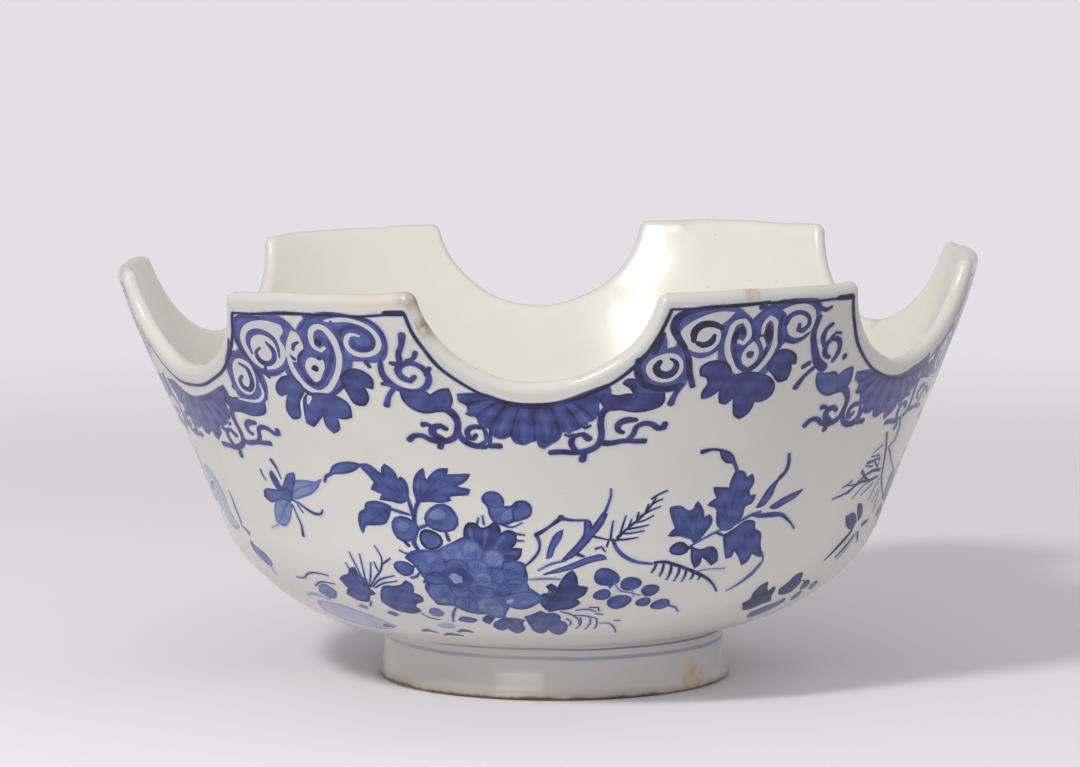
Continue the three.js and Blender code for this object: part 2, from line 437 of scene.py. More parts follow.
class Painting:
    """Shapes on the drawing sheet, from the first laid to the last, and under them their soft and bled edges."""

    def __init__(self):
        self.points = []
        self.shapes = []
        self.under = []
        self.move()

    def move(self, across=0.0, up=0.0, mirror=False, load=0.0):
        """Where the next shapes go: mirrored about the sheet's origin, then moved. load makes their tones darker."""
        self.place = (across, up, -1.0 if mirror else 1.0)
        self.load = load

    def _shape(self, loop, tone, under=False):
        across, up, sign = self.place
        if tone > PALE:
            tone = min(tone + self.load, 1.0)
        start = len(self.points)
        for x, y in loop:
            self.points.append((across + sign * x, up + y))
        (self.under if under else self.shapes).append((list(range(start, len(self.points))), tone))

    def _strip(self, centre, widths, tone, under=False):
        ways = np.gradient(centre, axis=0)
        ways /= np.maximum(np.hypot(ways[:, 0], ways[:, 1]), 1e-6)[:, None]
        sides = np.stack((-ways[:, 1], ways[:, 0]), axis=1) * (widths / 2)[:, None]
        self._shape(np.vstack((centre + sides, (centre - sides)[::-1])), tone, under)

    def stroke(self, line, width, tone, curved=True, closed=False):
        """A brush stroke. width is one number, or the widths along it."""
        centre = smooth(line, closed=closed) if curved else np.array(line, float)
        if closed:
            centre = np.vstack((centre, centre[:2]))
        widths = np.atleast_1d(np.array(width, float))
        run = np.concatenate(([0.0], np.cumsum(np.hypot(*np.diff(centre, axis=0).T))))
        along = run / max(run[-1], 1e-6)
        if len(widths) > 1:
            widths = np.interp(along, np.linspace(0, 1, len(widths)), widths)
        else:
            widths = widths.repeat(len(run))
        if not closed:
            out, on = centre[1] - centre[0], centre[-1] - centre[-2]
            first = centre[0] - out / max(np.hypot(*out), 1e-6) * widths[0] * STROKE_END
            last = centre[-1] + on / max(np.hypot(*on), 1e-6) * widths[-1] * STROKE_END
            centre = np.vstack((first, centre, last))
            widths = np.concatenate(([widths[0] * 0.5], widths, [widths[-1] * 0.5]))
        self._strip(centre, widths, tone)
        if tone > RESERVE:
            self._strip(centre, widths + 2 * SOFT_EDGE, tone * SOFT_EDGE_TONE, True)
            self._strip(centre, widths + 2 * BLEED_WIDTH, 0.0, True)

    def area(self, outline, tone, curved=True, edge=None, edge_width=0.7):
        """A wash inside an outline, with a darker brushed edge if edge gives its tone."""
        loop = smooth(outline, closed=True) if curved else np.array(outline, float)
        self._shape([tuple(p) for p in loop], tone)
        ring = np.vstack((loop, loop[:2]))
        if tone > RESERVE:
            self._strip(ring, np.full(len(ring), 2 * SOFT_EDGE), tone * SOFT_EDGE_TONE, True)
            self._strip(ring, np.full(len(ring), 2 * BLEED_WIDTH), 0.0, True)
        if edge is not None:
            self._strip(ring, np.full(len(ring), edge_width), edge)

    def dot(self, x, y, rx, ry, tone, tilt=0.0, edge=None, edge_width=0.8):
        c, s = math.cos(math.radians(tilt)), math.sin(math.radians(tilt))
        loop = []
        for k in range(DOT_SIDES):
            a = 2 * math.pi * k / DOT_SIDES
            wave = 1 + 0.06 * math.sin(3 * a + x + y)
            loop.append((x + wave * (rx * math.cos(a) * c - ry * math.sin(a) * s),
                         y + wave * (rx * math.cos(a) * s + ry * math.sin(a) * c)))
        self.area(loop, tone, False, edge, edge_width)

    def _triangles(self, flat, shapes):
        """The sheet cut into triangles along all outlines, and finely enough between them to follow the wall."""
        low, high = flat.min(axis=0), flat.max(axis=0)
        edges = [pair for loop, tone in shapes for pair in zip(loop, loop[1:] + loop[:1])]
        given = flat.tolist()
        for i in range(int((high[0] - low[0]) / GRID) + 1):
            for j in range(int((high[1] - low[1]) / GRID) + 1):
                across = low[0] + GRID * (i + 0.5 * (j % 2)) + 0.01 * j
                given.append((across, low[1] + GRID * (j + 0.37) + 0.003 * i))
        out = delaunay_2d_cdt([Vector(p) for p in given], edges, [], 0, 1e-4, False)
        return np.array([(p.x, p.y) for p in out[0]]), np.array(out[2])

    def build(self, names, material, starts):
        """Makes the painted pieces as thin skins on the wall. Each begins at its start, across the sheet."""
        shapes = sorted(self.under, key=lambda shape: shape[1]) + self.shapes
        flat = np.array(self.points)
        flat = flat + waver(flat)
        sheet, faces = self._triangles(flat, shapes)
        centres = sheet[faces].mean(axis=1)
        tones = laid_tones(flat, shapes, centres)
        # Where the colour has bled into the glaze, it fades from the painted edge outward
        touched = np.zeros(len(sheet))
        touched[faces[tones > RESERVE].ravel()] = BLEED
        corners = np.where(tones[:, None] > 0, tones[:, None], touched[faces])
        turns, ups = rim_outline()[:2]
        rim = np.interp(centres[:, 0] / SHEET_RADIUS, turns, ups, period=2 * math.pi)
        painted = (tones >= 0) & (centres[:, 1] < rim - RIM_MARGIN)
        for name, first, last in zip(names, starts, [*starts[1:], math.inf]):
            part = painted & (centres[:, 0] >= first) & (centres[:, 0] < last)
            painted_skin(name, sheet, faces[part], corners[part], material)


def laid_tones(flat, shapes, centres):
    """The tone at each centre: that of the last shape laid over it, or -1 where there is none."""
    order = np.argsort(centres[:, 0])
    ranked = centres[order, 0]
    tones = np.full(len(centres), -1.0)
    for loop, tone in shapes:
        start = flat[loop]
        end = np.roll(start, -1, axis=0)
        (x0, y0), (x1, y1) = start.min(axis=0), start.max(axis=0)
        near = order[np.searchsorted(ranked, x0):np.searchsorted(ranked, x1)]
        near = near[(centres[near, 1] > y0) & (centres[near, 1] < y1)]
        x, y = centres[near].T
        rises = (start[:, 1:] <= y) & (end[:, 1:] > y)
        falls = (start[:, 1:] > y) & (end[:, 1:] <= y)
        run = end - start
        side = run[:, :1] * (y - start[:, 1:]) - (x - start[:, :1]) * run[:, 1:]
        winding = np.sum(rises & (side > 0), axis=0) - np.sum(falls & (side < 0), axis=0)
        tones[near[winding != 0]] = tone
    return tones


def waver(sheet):
    """The unsteadiness of a hand, as small moves on the sheet. It closes round the bowl."""
    turn = sheet[:, 0] / SHEET_RADIUS
    up = sheet[:, 1]
    across = 0.25 * np.sin(up / 7.3 + 3 * turn) + 0.2 * np.sin(13 * turn + up / 11)
    across += 0.15 * np.sin(31 * turn - up / 3.1)
    rise = 0.2 * np.sin(9 * turn + up / 13 + 1.3) + 0.15 * np.sin(23 * turn + 0.4 - up / 17)
    rise += 0.12 * np.sin(43 * turn + up / 5)
    return np.stack((across, rise), axis=1)


def painted_skin(name, sheet, faces, tones, material):
    """A thin closed skin on the wall from triangles on the sheet, with a tone at each corner of each triangle."""
    used, index = np.unique(faces, return_inverse=True)
    index = index.reshape(faces.shape)
    count = len(used)
    flat = sheet[used]
    turn, up = flat[:, 0] / SHEET_RADIUS, flat[:, 1]
    top = settle(wall_points(turn, up, PAINT_LIFT))
    low = settle(wall_points(turn, up, -PAINT_DEPTH))

    def beside(across, rise):
        return settle(wall_points(turn + across / SHEET_RADIUS, up + rise, PAINT_LIFT))

    step = 0.4
    normals = np.cross(beside(step, 0) - beside(-step, 0), beside(0, step) - beside(0, -step))
    normals /= np.linalg.norm(normals, axis=1)[:, None]
    all_faces, all_tones, all_normals = [], [], []
    edges = {}
    for (a, b, c), (tone_a, tone_b, tone_c) in zip(index.tolist(), tones.tolist()):
        all_faces.append((a, b, c))
        all_faces.append((count + a, count + c, count + b))
        all_tones += [tone_a, tone_b, tone_c, tone_a, tone_c, tone_b]
        all_normals += [normals[a], normals[b], normals[c], -normals[a], -normals[c], -normals[b]]
        edges[(a, b)] = (tone_a, tone_b)
        edges[(b, c)] = (tone_b, tone_c)
        edges[(c, a)] = (tone_c, tone_a)
    for (p, q), (tone_p, tone_q) in edges.items():
        if (q, p) in edges:
            continue
        all_faces.append((q, p, count + p, count + q))
        all_tones += [tone_q, tone_p, tone_p, tone_q]
        way = top[q] - top[p]
        out = np.cross(way, normals[p])
        out = out / max(float(np.linalg.norm(out)), 1e-12)
        all_normals += [out] * 4
    mesh = bpy.data.meshes.new(name)
    mesh.from_pydata(np.vstack((top, low)).tolist(), [], all_faces)
    # The colour left the brush a little unevenly
    grain = 1 + 0.05 * np.sin(up * 1.1 + 17 * turn) + 0.05 * np.sin(71 * turn - up / 2.3 + 1)
    grain = np.concatenate((grain, grain))
    corners = np.zeros(len(mesh.loops), np.int32)
    mesh.loops.foreach_get("vertex_index", corners)
    values = np.clip(np.array(all_tones) * grain[corners], 0, 1)
    paint = mesh.color_attributes.new("tone", "FLOAT_COLOR", "CORNER")
    colours = np.stack((values, values, values, np.ones(len(values))), axis=1)
    paint.data.foreach_set("color", colours.ravel().astype(np.float32))
    mesh.polygons.foreach_set("use_smooth", [True] * len(mesh.polygons))
    mesh.normals_split_custom_set([tuple(n) for n in all_normals])
    place_object(name, mesh, material)


# Border: scrolls and a heart on each raised part of the rim, and a shell fan under each notch

AROUND = (-2, -1, 0, 1, 2, 3)  # the notches, counted once round the sheet

# How far the painter set each fan off, across and up, and how much darker the brush was on even and odd ones. On the
# odd raised parts this extra darkness is partly painted shade, for the raised part at the right that stands in shade.
FAN_MOVES = ((0, 0), (-3, 1.5), (0, 0.6), (1.5, -0.8), (0, 0.8), (0.5, -5.0))
RAISED_LOADS_WITH_SHADE = (0.0, 0.03)
FAN_LOADS = (0.06, -0.02)
BORDER_SPLIT = -120  # where a painted piece of the border begins, across the sheet from its notch

# The thin line inside the rim: how far in it runs, over the notches and along each raised part
NOTCH_INSET = 3.0
RAISED_INSET = (4.3, 1.9, 3.0, 2.4, 3.2, 2.6)


def raised_part(p):
    """The ornament of one raised part. Its heart is at -74 across."""
    p.area([(-112, 147), (-110.6, 155), (-107, 158.6), (-103.6, 159), (-101.4, 162), (-102.6, 167.5), (-100.8, 171.6),
            (-97, 173.8), (-92, 173.6), (-87.5, 173.9), (-83.5, 174.4), (-80, 172), (-77.6, 168.5), (-75.2, 172),
            (-71.5, 175.2), (-67, 176.5), (-60, 176.3), (-53, 175.2), (-49.4, 172.2), (-47.3, 167.4), (-47.8, 161.6),
            (-50.2, 157.6), (-53.4, 156.8), (-56.6, 157.4), (-60, 157.4), (-61, 153.5), (-63.6, 147.5),
            (-68.6, 143.4), (-74, 141.6), (-80, 143.5), (-84.2, 148), (-85.4, 151.6), (-88.6, 149.6), (-92.4, 149.2),
            (-95, 150), (-94.6, 146.4), (-95.8, 141.6), (-98, 138.4), (-103.4, 137.4), (-110, 139.4)], MID)
    # Left scroll
    p.area([(-82.6, 170.2), (-87, 171.8), (-92.6, 171.4), (-97, 169), (-99.9, 164.4), (-99.6, 159.4), (-98, 155.4),
            (-94.8, 152.6), (-91, 151.9), (-87, 153), (-84, 156.4), (-83, 160.8), (-84.2, 165), (-82.4, 167.6)],
           RESERVE)
    p.stroke([(-97, 158.2), (-97.2, 162.6), (-94.6, 166.3), (-90.6, 167.2), (-87.2, 165.2), (-85.8, 161.4),
              (-86, 157)],
             [1.0, 1.9, 2.5, 2.6, 2.0, 1.4, 0.8], 0.70)
    p.stroke([(-90, 163), (-87.9, 159.6), (-88.4, 156), (-91.2, 154.2), (-94.4, 155.4), (-95.2, 158.6), (-93, 160.6)],
             [1.0, 2.0, 2.0, 2.2, 2.3, 1.7, 0.9], DEEP)
    p.stroke([(-97.2, 139.6), (-96.2, 146), (-97.6, 152), (-101, 159), (-102, 166), (-100, 171), (-95.5, 173.2),
              (-90, 172.9)], [1.0, 1.3, 1.5, 1.8, 1.6, 1.0], DEEP)
    p.stroke([(-96.4, 151.6), (-91, 150.2), (-86, 151.6)], [0.8, 1.5, 0.9], DEEP)
    # Small spiral beside the notch
    p.area([(-109.3, 149), (-107.6, 153.4), (-104, 155.8), (-100.6, 154.6), (-98.9, 150.8), (-99.4, 146),
            (-101.8, 142.2), (-105.2, 140.8), (-108.2, 142.4), (-109.6, 145.6)], RESERVE)
    p.stroke([(-104.8, 153.6), (-101.8, 152), (-101, 148.6), (-101.6, 145), (-103.8, 143), (-106.2, 143.8),
              (-107, 146.6), (-105.2, 148.4)], [1.0, 1.9, 2.1, 2.3, 2.1, 2.1, 1.4], DEEP)
    p.stroke([(-97.8, 146), (-98, 141.4), (-101, 138.8), (-106, 138.4), (-111, 138.8)], [0.6, 1.3, 1.1, 0.8], RESERVE)
    p.stroke([(-107.6, 157), (-106.4, 160), (-105.6, 163.4)], [2.4, 1.6, 1.0], DEEP)
    # Lens and heart
    p.area([(-82.9, 160), (-81.4, 164.6), (-79.3, 168.2), (-77.5, 167.4), (-76.3, 164.4), (-76.2, 161.2),
            (-77.6, 158.4), (-79.2, 156), (-81.6, 155.8), (-83.2, 157.2)], RESERVE)
    p.stroke([(-77.6, 163.6), (-79.4, 162.6), (-80.1, 160.6)], [1.0, 1.7, 1.2], DEEP)
    p.stroke([(-82, 158.4), (-80.4, 156.8)], [1.1, 1.5], DEEP)
    p.stroke([(-82.4, 158.2), (-82.1, 152.6), (-80.2, 147.9), (-77, 144.8), (-73.8, 143.8), (-70.8, 145.2),
              (-67.8, 148.9), (-65.6, 153.8), (-64.6, 159), (-64.7, 164), (-65.8, 168.2), (-67.6, 170.5),
              (-69.8, 170.7), (-71.7, 169), (-72.6, 165.6), (-72.2, 162.2), (-70.4, 160.9), (-68.9, 162.4)],
             [1.4, 1.9, 2.0, 2.0, 2.1, 2.0, 1.9, 2.2, 2.3, 2.2, 2.0, 1.6, 1.2], RESERVE)
    p.stroke([(-70.2, 164.6), (-69.4, 166.6), (-67.4, 165.4), (-66.7, 161.2), (-67.6, 157.5), (-69, 153.6),
              (-71.2, 149.4), (-74, 146.8), (-76.6, 147.8), (-78.6, 151.2), (-79.1, 155.2), (-78.3, 158.3),
              (-76, 160.7)],
             [2.4, 1.3, 1.3, 1.6, 1.5, 1.4, 1.5, 1.6, 1.5, 1.4, 1.1], DEEP)
    p.dot(-70.5, 164.4, 1.3, 1.5, LINE)
    p.area([(-77.4, 153.6), (-76.3, 156.6), (-74.6, 158), (-72.6, 157.4), (-70.5, 157.2), (-70.3, 154.4),
            (-71.6, 151.4), (-73.6, 148.4), (-74.9, 148.2), (-76.5, 150.6)], RESERVE)
    p.dot(-73.9, 153.6, 1.35, 1.35, LINE)
    p.dot(-71.8, 157.6, 0.9, 0.8, DEEP)
    # Right scroll
    p.stroke([(-66.2, 173.2), (-62.8, 173.6), (-58.6, 173.9), (-54.2, 172.5), (-51, 169.2), (-50, 164.8),
              (-51.8, 161.4), (-55.2, 160), (-58.8, 160.6), (-60.9, 163), (-60.7, 166.2), (-58.6, 168.2),
              (-56.2, 167.6)],
             [0.8, 1.8, 1.7, 1.6, 1.5, 1.6, 1.8, 1.8, 1.8, 1.8, 1.6, 1.6, 0.9], RESERVE)
    p.stroke([(-62.8, 167.6), (-61, 170.2), (-57.2, 171.3), (-53.6, 169.5), (-51.9, 166), (-53, 163), (-56, 162.3),
              (-58.6, 163.6), (-58.4, 165.6)], [1.4, 1.6, 1.8, 2.0, 1.8, 1.6, 2.0, 2.4, 1.6], DEEP)
    p.stroke([(-64.2, 173), (-63.2, 168.4), (-62.9, 163.2), (-62.8, 157.6)], [0.9, 1.6, 1.6, 1.0], 0.74)
    p.stroke([(-76.4, 168.6), (-72.6, 173.2), (-66.6, 175.6), (-58, 175.6), (-51.6, 173.6), (-48.4, 168.6),
              (-48.2, 162.6), (-50.8, 158.6)], [0.8, 1.4, 1.2, 1.4, 0.9], DEEP)
    p.stroke([(-83.8, 151.5), (-80.4, 145), (-74, 142.2), (-68.6, 143.8), (-64, 148.6), (-61.8, 155)],
             [0.8, 1.4, 0.9], DEEP)
    # Leaves below
    p.area([(-74, 143.5), (-79.4, 142), (-81.8, 136), (-82.8, 131), (-80.6, 129.8), (-77.6, 132.4), (-75, 135),
            (-74.9, 130), (-73, 127.4), (-70.8, 128.6), (-69.8, 134), (-67, 133.6), (-64.4, 134.4), (-64.6, 139),
            (-68, 142.4)], 0.73, edge=0.83, edge_width=0.9)
    p.area([(-83.4, 150), (-88.4, 148), (-91, 142.6), (-90.2, 141.5), (-86.6, 142.8), (-89.2, 134.6), (-88.2, 132.2),
            (-85.6, 132.8), (-82.8, 139.6), (-80, 144.4)], 0.72, edge=0.82, edge_width=0.9)
    p.area([(-65.4, 150.6), (-61, 154.2), (-57.6, 153.4), (-55.1, 149.8), (-55.4, 146.4), (-58.4, 147.2),
            (-57.4, 141.6), (-58.8, 139.2), (-61.6, 139.4), (-64, 144)], DEEP, edge=0.88, edge_width=0.9)
    p.stroke([(-78.2, 141.6), (-79.4, 139)], [1.8, 0.9], RESERVE)
    p.stroke([(-92.6, 153.2), (-93.6, 150.5), (-92.4, 148.6)], [1.2, 1.8, 1.0], DEEP)
    p.stroke([(-55.6, 157.2), (-54.8, 155)], [1.8, 1.1], DEEP)
    # Curling stem beside the next notch
    p.stroke([(-50.9, 158), (-51.3, 152.6), (-49.2, 148.6), (-45.2, 146.2), (-40.6, 146), (-37.3, 148.6),
              (-36.2, 152.2), (-37.8, 155.6), (-41, 157.4), (-44.4, 156.6), (-46, 154), (-44.6, 151.2),
              (-42.2, 150.2), (-40.6, 152.2)],
             [1.4, 2.1, 2.6, 2.2, 2.0, 2.1, 2.0, 1.9, 2.4, 2.6, 1.6], DEEP)
    p.stroke([(-47.8, 157), (-45.6, 156.6)], [1.6, 2.2], DEEP)
    p.stroke([(-44.8, 157), (-44.6, 161), (-43, 164.4), (-42.1, 168.4)], [2.2, 1.8, 1.7, 2.4], DEEP)
    p.stroke([(-42.6, 158.2), (-40.6, 159), (-39.3, 161.6)], [1.6, 1.5, 1.7], DEEP)
    p.stroke([(-37, 152.8), (-35.6, 155.6)], [1.6, 1.6], DEEP)
    p.stroke([(-47.8, 147), (-50, 143.6), (-51.4, 139.6)], [1.8, 1.7, 2.2], DEEP)
    p.stroke([(-49.8, 148.4), (-52, 148.4)], [2.2, 1.3], DEEP)


def mirrored_part(p):
    """The other hand's version of the ornament, which faces it. Its heart is at 61.5 across."""
    p.area([(26, 151), (26.2, 157), (29, 160.6), (31.4, 163), (32.4, 166.6), (33.6, 168.4), (34.9, 166), (35.2, 162),
            (37.6, 162.6), (38, 166.6), (35.9, 170.6), (36.3, 174.8), (40, 176.7), (46, 177.6), (51, 177.8),
            (55.6, 176.6), (58.6, 173.8), (60.8, 171.6), (63, 174.2), (67, 176.9), (72, 178.3), (78, 178.5),
            (83, 177.3), (84.5, 174), (83.8, 170), (83, 166), (80.8, 162.6), (77.4, 160.9), (73.6, 161.8), (72, 160),
            (71.4, 155), (69, 150.4), (65.6, 148), (61.4, 146.8), (57, 148), (53.6, 151.2), (51.6, 155.8),
            (51, 160.6), (48.6, 158.6), (45.4, 157.7), (42.6, 158.8), (42.4, 154), (42.6, 150), (41.4, 146.4),
            (37, 144.6), (31, 144.2), (26.4, 145)], MID)
    # Left scroll
    p.area([(54.6, 174.8), (50, 175.3), (45.5, 174.3), (41.3, 171.8), (38.7, 168), (39.4, 164.4), (41.6, 161.4),
            (45, 160), (48.4, 160.5), (50.6, 163), (51.1, 166.4), (50.3, 169.6), (52.8, 172.2)], RESERVE)
    p.stroke([(42.8, 164.6), (42.9, 168.4), (45, 170.9), (48, 170.9), (51.2, 169)], [1.6, 2.4, 2.9, 2.4, 1.6], LINE)
    p.stroke([(49, 166.6), (48.2, 164), (45.9, 163), (43.9, 164)], [1.4, 2.6, 2.6, 1.6], LINE)
    p.stroke([(44.2, 146.4), (43, 151.4), (42.2, 157), (40.2, 162.4), (38, 166.6), (36.8, 170.8), (38, 174.6),
              (43, 176.6), (49, 177.2)], [1.8, 2.0, 1.9, 1.8, 2.2, 2.8, 2.6, 2.0, 1.4], 0.88)
    # Small spiral beside the notch
    p.area([(36.2, 160.2), (32.6, 159.2), (29.6, 156.6), (28.9, 153), (30.8, 149.9), (34.4, 148.6), (38, 149.4),
            (40.4, 152.2), (40.6, 155.8), (38.8, 159)], RESERVE)
    p.stroke([(33.2, 157), (32.1, 154.4), (33.6, 152), (36.3, 151.7), (38.1, 153.6), (38.1, 156.6), (36.4, 158)],
             [1.8, 2.5, 3.0, 3.2, 2.6, 1.8, 1.0], 0.88)
    p.stroke([(27, 157.6), (26.4, 153), (28, 148.6), (32, 146.4), (37, 146.2), (40.6, 147.4)],
             [2.0, 2.4, 2.6, 2.6, 2.0], 0.88)
    p.stroke([(31.4, 160.8), (32.6, 164), (33.5, 167.6)], [2.6, 2.2, 2.2], LINE)
    p.stroke([(40.4, 147), (38.6, 143), (37.6, 139.6)], [1.8, 1.7, 2.4], DEEP)
    # Heart
    p.stroke([(57.2, 163.4), (58.8, 162.3), (60.3, 164.4), (60, 168.4), (58, 171.2), (55.4, 170.6), (54, 166.4),
              (54, 160.6), (55.6, 155.4), (58.4, 151.2), (61.6, 149.4), (64.8, 151.2), (67.8, 155.4), (69.5, 160.4),
              (69.7, 165.6), (68.5, 170.4), (66.8, 171.8), (65.2, 169.4), (64.9, 166)],
             [1.3, 1.6, 1.7, 1.7, 1.9, 1.9, 1.8, 1.8, 1.8, 1.8, 1.9, 1.9, 1.9, 2.0, 2.0, 1.9, 1.6, 1.3, 1.0], RESERVE)
    p.stroke([(56, 163), (56.2, 166.6), (57.8, 168.2), (58.6, 166.4)], [1.8, 2.2, 2.2, 1.6], LINE)
    p.area([(66.6, 169.6), (66, 166.4), (66.2, 163.4), (67.4, 161.4), (68.3, 163.6), (68, 167.4)], LINE)
    p.stroke([(64.8, 164), (66, 161.4), (66.6, 159)], [1.4, 1.2, 0.8], RESERVE)
    p.stroke([(56.2, 161.4), (56.9, 156.8), (59, 152.9), (61.6, 151.5), (64.4, 153.4), (66.5, 157), (66.9, 160.4)],
             [1.0, 1.6, 1.7, 1.6, 1.7, 1.6, 1.0], DEEP)
    p.area([(58.8, 157), (60.2, 160.8), (62.4, 163), (63.8, 160.8), (64.6, 157.6), (63.6, 154.6), (61.6, 152.9),
            (59.6, 154.4)], RESERVE)
    p.dot(61.6, 157.8, 1.4, 1.5, DEEP)
    p.stroke([(59.8, 171.8), (61.8, 167.6), (62.2, 163.6)], [0.8, 1.6, 1.0], DEEP)
    # Right scroll
    p.area([(70.6, 174.2), (74.6, 175.9), (79.4, 175.9), (82.2, 173.4), (83, 169.6), (82.3, 165.8), (79.8, 163.6),
            (76.8, 163.3), (74, 165), (73, 168), (72.8, 171.6)], RESERVE)
    p.stroke([(72.4, 168.6), (73.6, 171.6), (76.8, 173), (80, 171.4), (81, 168.2), (79.4, 165.8), (77.4, 166.4),
              (77.4, 168.4)], [1.8, 1.9, 2.0, 1.7, 1.5, 1.9, 2.3, 1.4], 0.78)
    p.stroke([(61.4, 171.6), (66, 175.8), (72, 177.8), (79, 177.6), (83.4, 175)], [0.9, 1.3, 1.2, 0.9], DEEP)
    p.stroke([(71.8, 160), (70.9, 164.6), (70.6, 169.6), (71.4, 173)], [1.2, 1.7, 1.5, 0.9], DEEP)
    p.stroke([(72.6, 162.8), (77.4, 161.6), (82, 164.8)], [0.9, 1.5, 0.9], DEEP)
    # Stem and curl beside the next notch
    p.stroke([(84.6, 171), (83.8, 164.6), (85.2, 158.4), (87.6, 153), (91, 150)], [1.7, 2.0, 2.4, 3.2, 4.0], DEEP)
    p.stroke([(84.4, 174), (86.2, 173), (88.2, 174)], [1.4, 1.6, 1.1], DEEP)
    p.stroke([(92.6, 154), (90.6, 155), (89.6, 157.8), (90.6, 160.6), (93.2, 161.2), (95.4, 158.8), (95.8, 155.4),
              (94.4, 152.4)], [1.5, 2.0, 1.9, 1.9, 2.0, 1.9, 1.9, 1.6], DEEP)
    p.stroke([(88.8, 158.8), (87.8, 162.4), (88.6, 165.6), (90.4, 167.2)], [1.2, 2.0, 1.6, 1.6], DEEP)
    p.stroke([(91.2, 161.8), (92.6, 163.6), (94.6, 163)], [1.6, 1.2, 1.0], DEEP)
    p.dot(99.2, 153.6, 1.0, 1.2, DEEP)
    p.stroke([(87, 150.4), (83.6, 147.2), (81.2, 143.4)], [1.6, 1.6, 2.4], DEEP)
    p.stroke([(84.6, 152.6), (82.2, 151.2)], [2.0, 1.8], DEEP)
    # Leaves below
    p.area([(52.8, 156), (48.6, 155.8), (46.4, 153.6), (46.6, 150.6), (48.4, 149.8), (49.2, 147.4), (47.8, 143.4),
            (48, 141.2), (50.2, 141.6), (53.4, 144.6), (55.2, 148.4), (56, 151)], 0.76, edge=0.86, edge_width=0.9)
    p.area([(56, 148.8), (54.4, 146.8), (53.8, 142.6), (54.4, 139), (56.2, 138.4), (58.8, 141.4), (59.3, 137),
            (60.4, 133.6), (62.4, 132.4), (64.8, 134.4), (66.2, 139.2), (69.4, 139.2), (72.1, 141.6), (72.3, 145),
            (70.2, 148.2), (66.6, 150)], 0.75, edge=0.85, edge_width=0.9)
    p.area([(69, 153.2), (71.6, 149.2), (73.8, 146.6), (76.6, 147.2), (77.4, 150.4), (77.2, 153.2), (79, 153.2),
            (78.4, 156.4), (75.4, 158.6), (72, 158.8), (70.4, 156.4)], 0.75, edge=0.85, edge_width=0.9)


